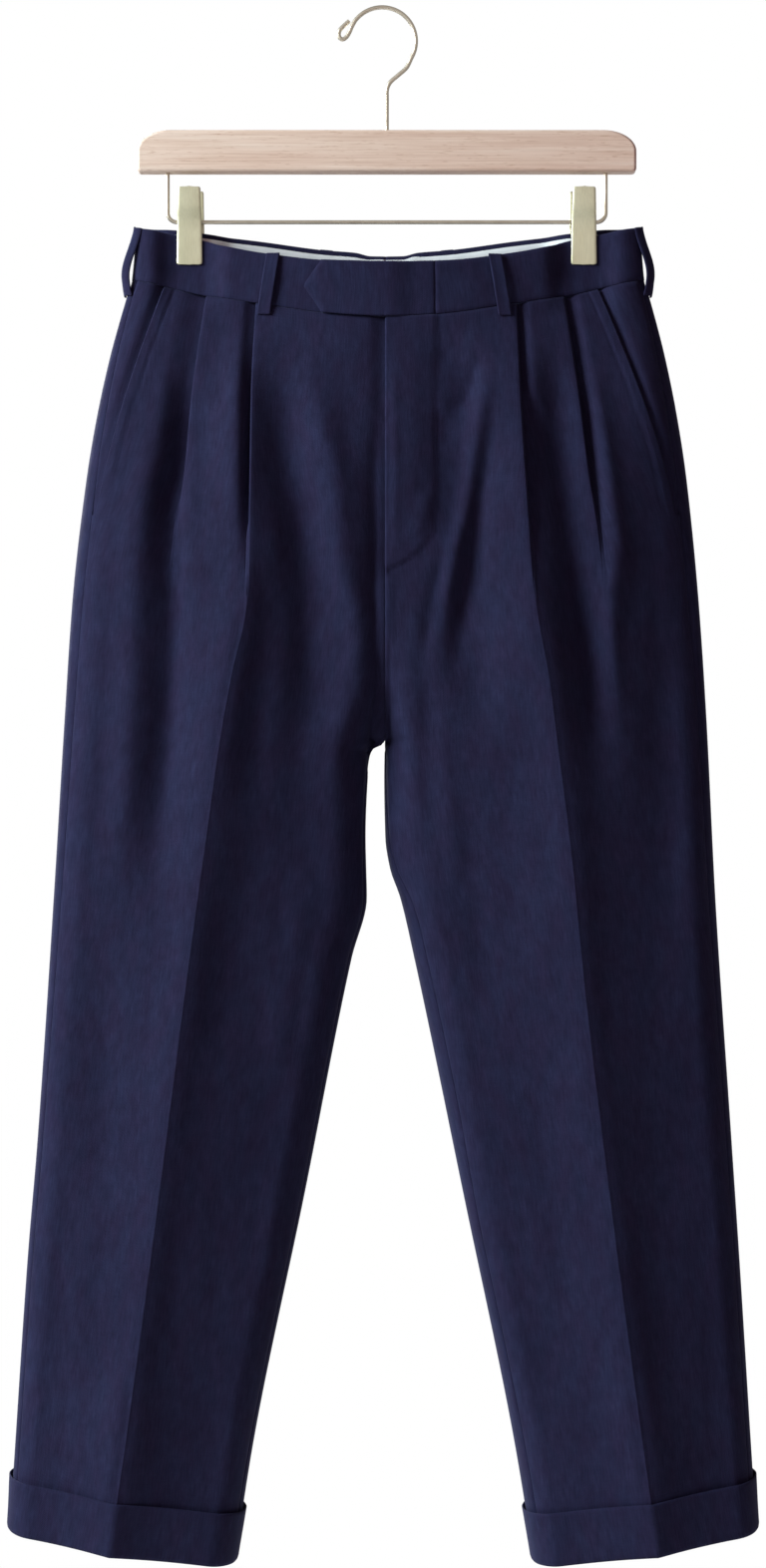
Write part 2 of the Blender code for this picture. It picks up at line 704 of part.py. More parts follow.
def clip_spring(side, material, collection):
    """The coil round the rail, between the two leaves, as a plain sleeve."""
    name = "clip_spring_" + side
    inner, outer = SPRING_RADII
    half = SPRING_LENGTH / 2.0
    mesh = bpy.data.meshes.new(name)
    profile = [(-half, inner), (half, inner), (half, outer), (-half, outer)]
    edges = [(i, (i + 1) % 4) for i in range(4)]
    mesh.from_pydata([(x * MM, 0.0, r * MM) for x, r in profile], edges, [])
    obj = add_object(name, mesh, material, collection)
    obj.location = (SIDES[side] * CLIP_OUT * MM, 0.0, RAIL_Z * MM)
    turn = obj.modifiers.new("Turn", "SCREW")
    turn.axis = "X"
    turn.steps = 20
    turn.render_steps = 20
    turn.use_merge_vertices = True
    turn.merge_threshold = 0.00001


def main():
    clear_scene()
    garment = new_collection("pleated_dress_trousers")
    hanger = new_collection("clip_hanger")
    cutters = new_collection("cutters", hidden=True)
    wool = new_material("navy_wool", (0.022, 0.026, 0.065), 0.85)
    lining = new_material("pale_lining", (0.78, 0.83, 0.83), 0.7)
    wood = new_material("beech", (0.70, 0.50, 0.38), 0.45)
    steel = new_material("satin_wire", (0.62, 0.57, 0.47), 0.3, 1.0)
    clip_metal = new_material("champagne_clip", (0.60, 0.57, 0.42), 0.4, 0.9)
    for side in SIDES:
        side_loop = ring_loop_rows(side, SIDE_LOOP_TURNS, SIDE_LOOP_LIFT, SIDE_LOOP_BOW)
        back_loop = ring_loop_rows(side, back_loop_turns(side), LOOP_LIFT, LOOP_BOW)
        pieces = {
            "front_panel_": ([front_line(side, row) for row in HIP_ROWS], CLOTH, wool),
            "front_leg_": ([front_line(side, row) for row in LEG_ROWS], CLOTH, wool),
            "back_panel_": ([back_line(side, row) for row in HIP_ROWS], CLOTH, wool),
            "back_leg_": ([back_line(side, row) for row in LEG_ROWS], CLOTH, wool),
            "pocket_facing_": ([facing_line(side, row) for row in POCKET_ROWS], CLOTH, wool),
            "waistband_": ([band_line(side, band_turns(side), s) for s in BAND_SHARES], BAND_CLOTH, wool),
            "waistband_lining_": (lining_rows(side), LINING_CLOTH, lining),
            "cuff_": (cuff_rows(side), CUFF_CLOTH, wool),
            "belt_loop_side_": (side_loop, LOOP_CLOTH, wool),
            "belt_loop_back_": (back_loop, LOOP_CLOTH, wool),
            "belt_loop_front_": (front_loop_rows(side, *FRONT_LOOP_OUT[side]), LOOP_CLOTH, wool),
        }
        for name, (rows, thickness, material) in pieces.items():
            cloth(name + side, world_rows(side, rows), thickness, material, garment, name == "cuff_")
    cloth("waistband_tab", world_rows("L", tab_rows()), BAND_CLOTH, wool, garment)
    hanger_bar(wood, hanger, cutters)
    wire("hanger_hook", hook_path(), HOOK_WIRE, steel, hanger)
    wire("clip_rail", rail_path(), RAIL_WIRE, steel, hanger)
    for side in SIDES:
        clip_leaf(side, "front", clip_metal, hanger)
        clip_leaf(side, "back", clip_metal, hanger)
        clip_spring(side, clip_metal, hanger)


main()
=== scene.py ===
"""Looks of the pleated dress trousers on their clip hanger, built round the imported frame."""
import math

import bmesh
import bpy
import numpy as np
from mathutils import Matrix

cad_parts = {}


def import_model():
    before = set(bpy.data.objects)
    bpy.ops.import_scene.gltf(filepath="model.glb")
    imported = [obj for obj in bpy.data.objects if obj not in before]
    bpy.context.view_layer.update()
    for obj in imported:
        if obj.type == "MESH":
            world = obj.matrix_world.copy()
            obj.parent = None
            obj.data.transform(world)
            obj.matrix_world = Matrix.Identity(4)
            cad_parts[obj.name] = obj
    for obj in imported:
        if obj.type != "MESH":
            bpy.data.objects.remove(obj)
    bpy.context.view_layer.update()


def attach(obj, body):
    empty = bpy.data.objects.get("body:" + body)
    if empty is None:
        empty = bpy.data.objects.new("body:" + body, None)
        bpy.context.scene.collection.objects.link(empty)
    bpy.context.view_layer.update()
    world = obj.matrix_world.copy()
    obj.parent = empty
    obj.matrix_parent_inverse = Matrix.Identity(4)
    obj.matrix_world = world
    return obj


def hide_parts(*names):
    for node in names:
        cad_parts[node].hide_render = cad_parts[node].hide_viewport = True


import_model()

# Camera, level with the middle of the trousers
camera_data = bpy.data.cameras.new("camera")
camera_data.lens = 67.2
camera_data.sensor_width = 36.0
camera_data.clip_end = 50.0
camera = bpy.data.objects.new("camera", camera_data)
camera.location = (-0.0028, -2.2, -0.5819)
camera.rotation_euler = (math.pi / 2.0, 0.0, 0.0)
bpy.context.scene.collection.objects.link(camera)
bpy.context.scene.camera = camera

# Lengths are in millimetres: out runs from the middle plane to each side, fore to the front, z up.
MM = 0.001
SIDES = {"R": -1, "L": 1}
GAP = 0.3
CLOTH = 1.2

ROUND_SHARE = 0.62
ROUND_WIDTH = 0.22
FLANK_POWER = 1.9
HIP_POWER = 1.6
LEGS_PART = (-420.0, -551.0)
BAND_HEIGHT = 40.0
BAND_MIDDLE_Z = -190.0
BAND_CLOTH = 1.4
BAND_OUT_END = 192.0
CREASE_OUT_AT_SEAM = 97.0
BACK_END_TURN = 1.9985
LINING_START_TURN = 0.16
CLIP_OUT = 148.0
PINCH_REACH = (10.5, 32.0)
PINCH_HEIGHTS = (-240.0, -192.0)
PINCHED = {"front": 2.0, "back": 2.2}
WAIST_ROWS = (-350.0, -224.0)
HEM_ROWS = (-660.0, -1090.0)
HEM_SLOPE = 0.154
HEM_Z = -1148.0
PANEL_TOP = -223.5
PANEL_BREAKS = (-460.0, -600.0)
FACING_BOTTOM = -388.0
CUFF_HEIGHT = 36.5
CROTCH_Z = -551.0
LAYER = 1.6
PLEAT_CLEAR = 5.0
FLY_UNDERLAP = 9.0
FLY_UNDERLAP_HEIGHTS = (-422.0, -404.0)
FLY_DROP = 2.4
FLY_DROP_HEIGHTS = (-440.0, -422.0)
FLY_SINK = 2.4
FLY_SINK_REACH = 9.0
FLY_CURVE_Z = -385.0
FLY_CURVE_OUT = 37.0
FLY_CURVE_HEIGHT = 40.0
FLY_END_Z = -424.0
TAB_SEAM_X = 36.0
TAB_SHOULDER_X = -48.5
TAB_POINT_X = -60.8
TAB_POINT_Z = -211.0
TAB_POINT_HALF = 1.2
TAB_LIFT = 2.3
LINING_INSET = 1.9
LINING_CLOTH = 1.0
CUFF_CLOTH = 1.1
LOOP_WIDTH = 9.0
LOOP_BELOW_SEAM = 8.0
LOOP_LIFT = 1.7
LOOP_BOW = 1.8
SIDE_LOOP_LIFT = 2.2
SIDE_LOOP_BOW = 6.4
SIDE_LOOP_TURNS = (-0.245, 0.08)
SIDE_LOOP_BELOW_SEAM = 13.0
BACK_LOOP_OUT = 46.0
FRONT_LOOP_OUT = {"R": (84.5, 91.5), "L": (80.5, 87.9)}

# How far out the middle of each kind of piece lies, in metres
LEG_MIDDLE = 0.12
BAND_MIDDLE = 0.08
HEM_MIDDLE = 0.196


def smooth_step(start, end, value):
    share = np.clip((np.asarray(value, float) - start) / (end - start), 0.0, 1.0)
    return share * share * (3.0 - 2.0 * share)


def bump_at(value, place, width):
    return np.exp(-(((value - place) / width) ** 2))


def fading(distance, reach):
    """1 at an edge and behind it, and less with the distance from it."""
    return np.exp(-np.maximum(distance, 0.0) / reach)


def unit(vectors):
    return vectors / np.maximum(np.linalg.norm(vectors, axis=-1), 1e-12)[..., None]


class Table:
    """Named columns over a first column, read between the rows by a curve that never overshoots."""

    def __init__(self, names, rows):
        data = np.array(sorted(rows), float)
        self.keys = data[:, 0]
        self.columns = {name: data[:, i] for i, name in enumerate(names.split())}
        self.slopes = {name: self.slopes_of(values) for name, values in self.columns.items()}

    def slopes_of(self, values):
        steps = np.diff(values) / np.diff(self.keys)
        slopes = np.zeros(len(values))
        for i in range(1, len(values) - 1):
            if steps[i - 1] * steps[i] > 0:
                slopes[i] = 2.0 / (1.0 / steps[i - 1] + 1.0 / steps[i])
        slopes[0], slopes[-1] = steps[0], steps[-1]
        return slopes

    def at(self, name, key):
        values, slopes = self.columns[name], self.slopes[name]
        key = np.clip(np.asarray(key, float), self.keys[0], self.keys[-1])
        i = np.minimum(np.searchsorted(self.keys, key, "right") - 1, len(values) - 2)
        width = self.keys[i + 1] - self.keys[i]
        t = (key - self.keys[i]) / width
        return (
            values[i] * (1 + 2 * t) * (1 - t) ** 2
            + slopes[i] * width * t * (1 - t) ** 2
            + values[i + 1] * t * t * (3 - 2 * t)
            + slopes[i + 1] * width * t * t * (t - 1)
        )


OUTER = Table("z R L", [
    (-165, 187.5, 190.0), (-204, 191.0, 193.0), (-217, 195.0, 197.0), (-262, 207.5, 208.7),
    (-307, 217.3, 217.7), (-352, 224.8, 224.5), (-442, 235.3, 233.5), (-532, 241.3, 239.5),
    (-667, 249.5, 246.2), (-847, 261.5, 258.2), (-937, 269.0, 264.2), (-1095, 279.5, 274.0),
    (-1170, 284.5, 279.0),
])
CREASE = Table("z R L", [
    (-165, 92.0, 92.0), (-224, 97.1, 96.3), (-297, 100.2, 99.1), (-374, 101.0, 103.9),
    (-446, 102.9, 109.5), (-505, 114.8, 119.6), (-548, 122.4, 125.0), (-626, 133.5, 135.0),
    (-735, 148.4, 146.0), (-849, 162.9, 159.5), (-1036, 187.7, 183.8), (-1170, 207.0, 202.5),
])
INNER = Table("z R L", [
    (-165, 1.3, -0.7), (-547, 1.3, -0.7), (-551, 3.0, -0.8), (-557, 11.8, -1.0),
    (-577, 14.8, -1.3), (-622, 16.5, -0.5), (-645, 16.0, 3.0), (-667, 15.5, 10.7),
    (-712, 26.8, 21.2), (-892, 62.8, 58.7), (-1072, 100.0, 95.8), (-1170, 115.5, 112.0),
])
DEPTH = Table("z front_crease front_middle back_crease back_middle", [
    (-165, 12.0, 20.0, 11.0, 16.0), (-190, 13.5, 21.0, 13.0, 18.0), (-231, 18.5, 24.0, 20.0, 22.5),
    (-260, 26.0, 27.0, 29.0, 27.0), (-297, 34.0, 31.0, 38.0, 34.0), (-374, 42.0, 35.0, 48.0, 42.0),
    (-450, 45.0, 34.0, 52.0, 40.0), (-500, 46.0, 27.0, 51.0, 31.0), (-530, 46.0, 17.0, 49.0, 20.0),
    (-545, 46.0, 8.5, 48.0, 10.0), (-551, 46.0, 1.6, 48.0, 1.6), (-560, 46.0, 0.0, 48.0, 0.0),
    (-850, 46.0, 0.0, 45.0, 0.0), (-1108, 49.0, 0.0, 48.0, 0.0), (-1170, 49.0, 0.0, 48.0, 0.0),
])
VALLEY = Table("z R L", [
    (-165, 3.5, 3.5), (-450, 3.5, 3.5), (-500, 6.0, 3.5), (-547, 11.5, 3.2), (-557, 3.0, 0.0),
    (-577, 0.0, 0.0), (-1170, 0.0, 0.0),
])
BAND = Table("out front_top front_seam back_top", [
    (0, -193.5, -233.9, -183.0), (12, -193.4, -233.6, -182.8), (24, -193.0, -233.0, -180.2),
    (48, -191.9, -230.9, -178.5), (93, -185.7, -223.6, -173.2), (109, -182.7, -220.9, -171.5),
    (124, -179.2, -218.2, -170.0), (135, -175.4, -216.2, -168.9),
    (165, -169.3, -209.2, -165.5), (192, -164.5, -203.6, -164.0),
])
OUTER_PLEAT = Table("z R L", [
    (-216, 134.8, 132.2), (-296, 145.0, 143.1), (-348, 149.7, 149.2), (-400, 156.9, 157.5),
    (-1170, 238.0, 234.0),
])
OUTER_FOLD = Table("z under step", [
    (-216, 10.5, LAYER), (-300, 6.5, LAYER), (-352, 1.5, LAYER), (-368, 0.0, LAYER),
    (-384, -2.0, 1.1), (-440, -2.0, 0.0), (-1170, -2.0, 0.0),
])
INNER_FOLD = Table("z under step", [
    (-223, 13.0, LAYER), (-300, 9.0, LAYER), (-362, 2.5, LAYER), (-386, 0.0, LAYER),
    (-402, -2.0, 1.1), (-460, -2.0, 0.0), (-1170, -2.0, 0.0),
])
FOLDS = {"outer": OUTER_FOLD, "inner": INNER_FOLD}
FOLD_LINES = {"outer": OUTER_PLEAT, "inner": CREASE}
# How far from each fold the cloth beside it starts to run in under it, and how far the pleat gapes.
PLEAT_REACH = Table("z outer_R inner_R outer_L inner_L", [
    (-216, 22, 12, 14, 11), (-285, 24, 10, 15, 12), (-330, 24, 9, 18, 40), (-400, 24, 9, 18, 44),
])
PLEAT_GAPE = Table("z outer_R inner_R outer_L inner_L", [
    (-216, 0.0, 0.0, 0.0, 0.0), (-262, 0.8, 0.5, 1.2, 1.2), (-320, 3.0, 1.2, 3.4, 1.4),
    (-352, 2.0, 1.6, 2.2, 1.2), (-372, 0.0, 0.6, 0.0, 0.4), (-390, 0.0, 0.0, 0.0, 0.0),
])
POCKET_MOUTH = Table("z R L", [
    (-208, 166.0, 157.0), (-215, 168.5, 159.8), (-300, 196.5, 192.0), (-345, 208.4, 206.4),
    (-380, 216.2, 214.4),
])
SIDE_SEAM_IN = Table("z R L", [
    (-204, 4.0, 4.0), (-300, 7.5, 8.5), (-400, 9.6, 9.6), (-560, 8.2, 7.5), (-860, 5.5, 5.5),
    (-1170, 5.0, 5.0),
])
INSEAM_IN = Table("z R L", [
    (-551, 0.6, 0.6), (-620, 1.5, 2.5), (-690, 2.0, 9.0), (-800, 2.0, 9.5), (-920, 2.0, 7.0),
    (-1170, 2.5, 7.0),
])
POCKET_END = -381.0


def line_field(out, z, line, width):
    """Distance to a line of (out, z) points in units of `width`, and the share of the way along it."""
    line = np.array(line, float)
    lengths = np.linalg.norm(np.diff(line, axis=0), axis=1)
    nearest = np.full(np.shape(out), 1e9)
    along = np.zeros(np.shape(out))
    done = 0.0
    for (x, y), (x2, y2), length in zip(line, line[1:], lengths):
        dx, dy = (x2 - x) / length, (y2 - y) / length
        t = np.clip((out - x) * dx + (z - y) * dy, 0.0, length)
        away = np.hypot(out - x - t * dx, z - y - t * dy)
        closer = away < nearest
        nearest = np.where(closer, away, nearest)
        along = np.where(closer, (done + t) / lengths.sum(), along)
        done += length
    return nearest / width, along


def soft_fold(out, z, line, width, height):
    """A soft ridge along a falling line of (out, z) points, or a trough where height is negative."""
    path = Table("z out", [(point_z, point_out) for point_out, point_z in line])
    lean = (path.at("out", z + 2.0) - path.at("out", z - 2.0)) / 4.0
    away = (out - path.at("out", z)) / np.hypot(1.0, lean) / width
    along = (z - path.keys[0]) / (path.keys[-1] - path.keys[0])
    fade = smooth_step(0.0, 0.3, along) * smooth_step(1.0, 0.7, along)
    return height * np.exp(-away * away) * fade


def swell(seed, u, v, size_u, size_v, count=5):
    """Smooth uneven hills of about -1 to 1, some `size_u` by `size_v` across."""
    rng = np.random.default_rng(seed)
    total = np.zeros(np.broadcast(u, v).shape)
    for _ in range(count):
        a, b, bend = rng.uniform(0.7, 1.4, 3)
        p, q, r = rng.uniform(0.0, 2.0 * np.pi, 3)
        drift = bend * np.sin(b * np.pi * v / size_v + q)
        strength = 0.6 + 0.4 * np.sin(np.pi * v / size_v + r)
        total += np.sin(a * np.pi * u / size_u + drift + p) * strength
    return total / math.sqrt(count)


# Soft folds of each front and back: line of (out, z), half width, height.
FRONT_FOLDS = {
    "R": [
        # ridge and trough outside the outer pleat, running down into the leg
        ([
            (166, -258), (176, -326), (183, -371), (186, -415), (188, -460), (191, -540), (198, -690),
        ], 13.0, 4.6),
        ([
            (146, -240), (151, -300), (153, -340), (159, -371),
            (160, -415), (158, -460), (162, -540), (172, -690),
        ], 12.0, -6.5),
        # between the pleats
        ([(112, -222), (112, -300), (113, -356), (117, -410)], 8.0, 3.6),
        ([(140, -282), (136, -326), (137, -371), (139, -430)], 9.0, -2.2),
        # from the inner pleat to the fly
        ([
            (84, -240), (78, -296), (76, -326), (72, -356),
            (65, -386), (58, -445), (58, -500), (70, -590),
        ], 17.0, -8.5),
        ([(58, -250), (51, -296), (46, -326), (37, -356), (34, -415), (22, -460), (20, -530)], 12.0, 3.6),
        ([(9, -290), (8, -420), (7, -545)], 8.0, -3.0),
        ([(84, -400), (88, -460), (96, -520), (106, -620)], 13.0, -3.0),
        ([(118, -420), (126, -500), (134, -590)], 14.0, 1.2),
        # down the leg
        ([(14, -450), (40, -500), (62, -560)], 9.0, -1.0),
        ([(18, -500), (34, -545), (46, -610)], 8.0, 1.3),
        ([(96, -600), (112, -700), (124, -800)], 15.0, -2.0),
        ([(60, -640), (70, -720), (86, -820)], 11.0, 1.8),
        ([(196, -680), (206, -780), (216, -900)], 13.0, -1.2),
        ([(118, -820), (134, -900), (146, -1000)], 12.0, 1.2),
        ([(216, -880), (226, -960), (232, -1050)], 12.0, 1.0),
        ([(194, -1000), (202, -1090), (207, -1150)], 24.0, 2.6),
    ],
    "L": [
        # from the fly to the inner pleat, where the cloth drags towards the crotch
        ([(4, -240), (4, -330), (3, -430)], 5.0, 1.0),
        ([(48, -210), (46, -300), (44, -370), (40, -430)], 19.0, -5.5),
        ([(44, -262), (42, -290), (40, -318)], 8.0, 1.6),
        ([(68, -258), (62, -290), (54, -312)], 7.0, -2.6),
        ([(74, -262), (67, -326), (61, -371), (50, -415), (40, -480)], 6.5, 3.8),
        ([(77, -300), (72, -340), (68, -371), (64, -415), (58, -445), (48, -520)], 8.0, -3.2),
        ([(46, -400), (34, -450), (26, -500)], 6.0, -1.8),
        ([(72, -275), (70, -371), (66, -445), (72, -570)], 20.0, -6.0),
        ([(32, -360), (24, -390), (18, -404)], 6.0, 1.2),
        # between the pleats
        ([
            (122, -232), (125, -296), (129, -340), (135, -386), (140, -430), (147, -480), (158, -600),
        ], 13.0, -9.5),
        # outside the outer pleat
        ([(154, -255), (160, -326), (166, -371), (170, -415), (166, -460), (170, -560)], 9.0, 4.0),
        ([(206, -290), (212, -400), (216, -520), (222, -660)], 22.0, -5.0),
        ([(172, -385), (177, -420)], 3.0, 0.8),
        # down the leg
        ([(22, -480), (30, -520), (34, -570)], 7.0, -1.4),
        ([(12, -500), (18, -560), (26, -640)], 6.5, 1.4),
        ([(34, -520), (44, -580), (52, -660)], 8.0, 1.5),
        ([(60, -580), (66, -660), (78, -760)], 12.0, -1.6),
        ([(100, -560), (112, -660), (124, -760)], 14.0, 1.4),
        ([(196, -460), (206, -600), (214, -740)], 14.0, -1.2),
        ([(110, -800), (126, -900), (140, -990)], 12.0, -1.2),
        ([(214, -860), (224, -960), (230, -1060)], 12.0, 1.0),
        ([(190, -1000), (198, -1090), (203, -1150)], 24.0, 2.6),
    ],
}
BACK_FOLDS = {
    "R": [
        ([(8, -430), (40, -478), (92, -512)], 11.0, -4.0),
        ([(10, -490), (46, -530), (98, -566)], 9.0, 3.4),
        ([(34, -300), (44, -400), (52, -490)], 14.0, 2.6),
        ([(64, -320), (74, -440), (80, -540)], 15.0, -3.2),
        ([(140, -300), (156, -400), (168, -520)], 13.0, -3.6),
        ([(176, -290), (186, -400), (190, -540)], 12.0, 3.0),
        ([(58, -600), (78, -700), (94, -800)], 12.0, -2.6),
        ([(200, -560), (210, -700), (220, -820)], 14.0, 2.2),
        ([(166, -640), (178, -760), (190, -880)], 13.0, -2.0),
        ([(120, -840), (136, -920), (150, -1010)], 12.0, 1.8),
    ],
    "L": [
        ([(8, -442), (44, -490), (100, -530)], 10.0, -3.6),
        ([(10, -500), (42, -548), (86, -590)], 9.0, 3.2),
        ([(30, -290), (38, -390), (50, -470)], 13.0, -2.4),
        ([(70, -310), (78, -420), (88, -520)], 14.0, 3.0),
        ([(146, -310), (158, -430), (172, -540)], 14.0, -3.8),
        ([(182, -300), (190, -420), (196, -560)], 13.0, 2.6),
        ([(56, -640), (78, -720), (92, -830)], 12.0, 2.2),
        ([(198, -560), (212, -680), (218, -800)], 14.0, -2.4),
        ([(164, -620), (172, -740), (184, -860)], 12.0, 2.0),
        ([(116, -860), (134, -940), (146, -1020)], 12.0, -1.8),
    ],
}
FLY_STITCH = [
    (37.4, -226), (37.0, -300), (36.6, -385), (34.5, -397), (28.0, -408), (16.0, -417), (0.0, -424),
]
DART = [(92.0, -205.0), (90.0, -255.0), (88.5, -300.0)]


# The pressed crease stands up from the flanks, which are steepest beside it.
PRESS_HEIGHT = 5.0
PRESS_REACH = 15.0


def leg_lines(side, z):
    """How far out the outer fold, the crease and the inner fold lie."""
    return OUTER.at(side, z), CREASE.at(side, z), INNER.at(side, z)


def softened(value, z):
    """A value read at z, evened out over a hand's width of height."""
    return sum(value(z + 12.0 * i) for i in range(-3, 4)) / 7.0


def flank(share):
    """Depth of a leg's flank, as a share of its depth at the crease: round at the fold, then fuller."""
    share = np.clip(share, 0.0, 1.0)
    rounding = np.sqrt(1.0 - (1.0 - np.minimum(1.0, share / ROUND_WIDTH)) ** 2)
    return ROUND_SHARE * rounding + (1.0 - ROUND_SHARE) * share**FLANK_POWER


def depth(side, face, out, z):
    """Distance of the cloth's mid surface from the plane of the side folds, in the CAD form."""
    outer, crease, inner = leg_lines(side, z)
    at_crease = DEPTH.at(face + "_crease", z)
    outside = at_crease * flank((outer - out) / (outer - crease))
    valley = inner + VALLEY.at(side, z)
    even = softened(lambda height: INNER.at(side, height) + VALLEY.at(side, height), z)
    valley = valley + (even - valley) * smooth_step(6.0, 34.0, out - valley)
    share = np.clip((out - valley) / (crease - valley), 0.0, 1.0)
    at_middle = DEPTH.at(face + "_middle", z)
    even = softened(lambda height: DEPTH.at(face + "_middle", height), z)
    at_middle = at_middle + (even - at_middle) * smooth_step(0.02, 0.3, share)
    legs = smooth_step(*LEGS_PART, z)
    profile = legs * flank(share) + (1.0 - legs) * share**HIP_POWER
    result = np.where(out > crease, outside, at_middle + (at_crease - at_middle) * profile)
    pinch = smooth_step(*PINCH_HEIGHTS, z) * (1.0 - smooth_step(*PINCH_REACH, np.abs(out - CLIP_OUT)))
    return result + (PINCHED[face] - result) * pinch


def relief(side, face, out, z):
    """Soft uneven hang of the cloth, added to the CAD form, in millimetres outwards."""
    outer, crease, inner = leg_lines(side, z)
    seed = {"R": 3, "L": 11}[side] + {"front": 0, "back": 40}[face]
    result = 0.7 * swell(seed, out, z, 52.0, 260.0) + 0.26 * swell(seed + 1, out, z, 19.0, 90.0)
    result += 0.07 * swell(seed + 2, out, z, 8.0, 34.0)
    pressed = smooth_step(-400.0, -470.0, z) if face == "front" else smooth_step(-330.0, -450.0, z)
    result += pressed * PRESS_HEIGHT * (np.exp(-np.abs(out - crease) / PRESS_REACH) - 0.4)
    folds = FRONT_FOLDS if face == "front" else BACK_FOLDS
    for line, width, height in folds[side]:
        result += soft_fold(out, z, line, width, height)
    edges = smooth_step(0.0, 9.0, outer - out) * smooth_step(0.0, 9.0, out - inner)
    calm = 1.0 - 0.85 * smooth_step(-300.0, -225.0, z)
    calm *= 1.0 - 0.6 * smooth_step(-1080.0, -1140.0, z)
    crisp = 1.0 - 0.75 * bump_at(out, crease, 7.0) * smooth_step(-420.0, -470.0, z)
    return result * edges * calm * crisp


def out_at(side, turn, z):
    """How far out the ring lies at a turn."""
    outer, crease, inner = leg_lines(side, z)
    share = np.maximum(2.0 - np.abs(turn), 0.0)
    legs = smooth_step(*LEGS_PART, z)
    beyond = inner + (crease - inner) * (legs * share * share + (1.0 - legs) * share)
    return np.where(np.abs(turn) <= 1.0, outer - (outer - crease) * turn * turn, beyond)


def ring_point(side, turn, z, bend=0.0):
    """(out, fore) on the ring of a leg or the hips: turn -2 front middle, 0 outer fold, 2 back middle."""
    turn = np.where(turn > 2.0, turn - 4.0, turn)
    out = out_at(side, turn, z)
    front = depth(side, "front", out, z) + bend * relief(side, "front", out, z)
    back = depth(side, "back", out, z) + bend * relief(side, "back", out, z)
    return out, np.where(turn < 0.0, front, -back)


def back_seam(out):
    return BAND.at("back_top", out) - BAND_HEIGHT


def row_height(at_front, side, row, out):
    """The height of a row of cloth: level in the leg, along the waist seam above and the hem below."""
    seam = np.where(at_front, BAND.at("front_seam", out), back_seam(out))
    to_seam = smooth_step(*WAIST_ROWS, row) * (seam - GAP - BAND.at("front_seam", CREASE_OUT_AT_SEAM))
    to_hem = smooth_step(*HEM_ROWS, row) * HEM_SLOPE * (out - CREASE.at(side, row))
    return row + to_seam + to_hem


def under_depth(side, pleat, z):
    """How far the cloth that runs in under a pleat lies below it."""
    return 2.6 * FOLDS[pleat].at("step", z) + PLEAT_GAPE.at(pleat + "_" + side, z)


def dip(side, pleat, distance, z):
    """How far the cloth beside a pleat sinks as it runs in under the fold."""
    reach = PLEAT_REACH.at(pleat + "_" + side, z)
    return under_depth(side, pleat, z) * (1.0 - smooth_step(0.0, reach, distance))


def pleat_columns(side, pleat, z):
    """Columns through a pleat: in under the fold, back out, and round the fold edge."""
    fold = FOLD_LINES[pleat].at(side, z)
    under, step = FOLDS[pleat].at("under", z), FOLDS[pleat].at("step", z)
    deep = under_depth(side, pleat, z)
    spread = 1.0 - step / LAYER
    radius = step / 2.0
    inner = fold - under
    columns = [(inner, deep), (inner - spread * 0.5 - 0.3 * radius, (deep + 1.6 * step) / 2.0)]
    start = inner - spread
    for share in (0.0, 0.3, 0.6, 0.85):
        columns.append((start + (fold - radius - start) * share, (1.6 - 0.6 * share) * step))
    for angle in np.radians(np.linspace(90.0, -90.0, 9)):
        turned = (1.0 - math.sin(angle)) / 2.0
        lift = 0.35 * step * turned
        columns.append((
            fold - radius + radius * math.cos(angle) - spread * turned,
            radius + radius * math.sin(angle) - lift,
        ))
    return columns


def rise(distance, step):
    """The folded edge stands a little off, and settles back within a finger's width."""
    return -0.35 * step * (1.0 - smooth_step(0.0, 14.0, distance))


# Shares of the way across each stretch of a front, from the pocket mouth to the fly
POCKET_SHARES = np.concatenate([[0.0, 0.008, 0.02, 0.04], np.linspace(0.07, 1.0, 24)])
RUN_IN_SHARES = (0.3, 0.6, 0.85)
BETWEEN_SHARES = np.linspace(0.0, 1.0, 19)[1:]
FLY_SHARES = np.concatenate([np.linspace(0.0, 0.86, 34)[1:], np.linspace(0.86, 1.0, 12)[1:]])
PLEAT_COLUMNS = 15
FRONT_COUNT = (
    len(POCKET_SHARES) + len(BETWEEN_SHARES) + len(FLY_SHARES) + 2 * (len(RUN_IN_SHARES) + PLEAT_COLUMNS)
)


def front_start(side, z):
    """The front's outer edge: the pocket mouth above, the side seam below."""
    seam = OUTER.at(side, z) - SIDE_SEAM_IN.at(side, z) - GAP
    mouth = np.minimum(POCKET_MOUTH.at(side, z), seam)
    return np.where(z > POCKET_END, mouth, seam)


def front_end(side, z):
    """The front's inner edge: the fly or centre seam above the crotch, the inseam below."""
    end = INNER.at(side, z)
    underlap = FLY_UNDERLAP * smooth_step(*FLY_UNDERLAP_HEIGHTS, z) if side == "R" else 0.0
    return np.where(z > CROTCH_Z, end - underlap, end + INSEAM_IN.at(side, z) + GAP)


def fold_edge(pleat, side, z):
    """Where the cloth beside a pleat starts, next to its folded edge."""
    step = FOLDS[pleat].at("step", z)
    return FOLD_LINES[pleat].at(side, z) - step / 2.0 - (1.0 - step / LAYER), step


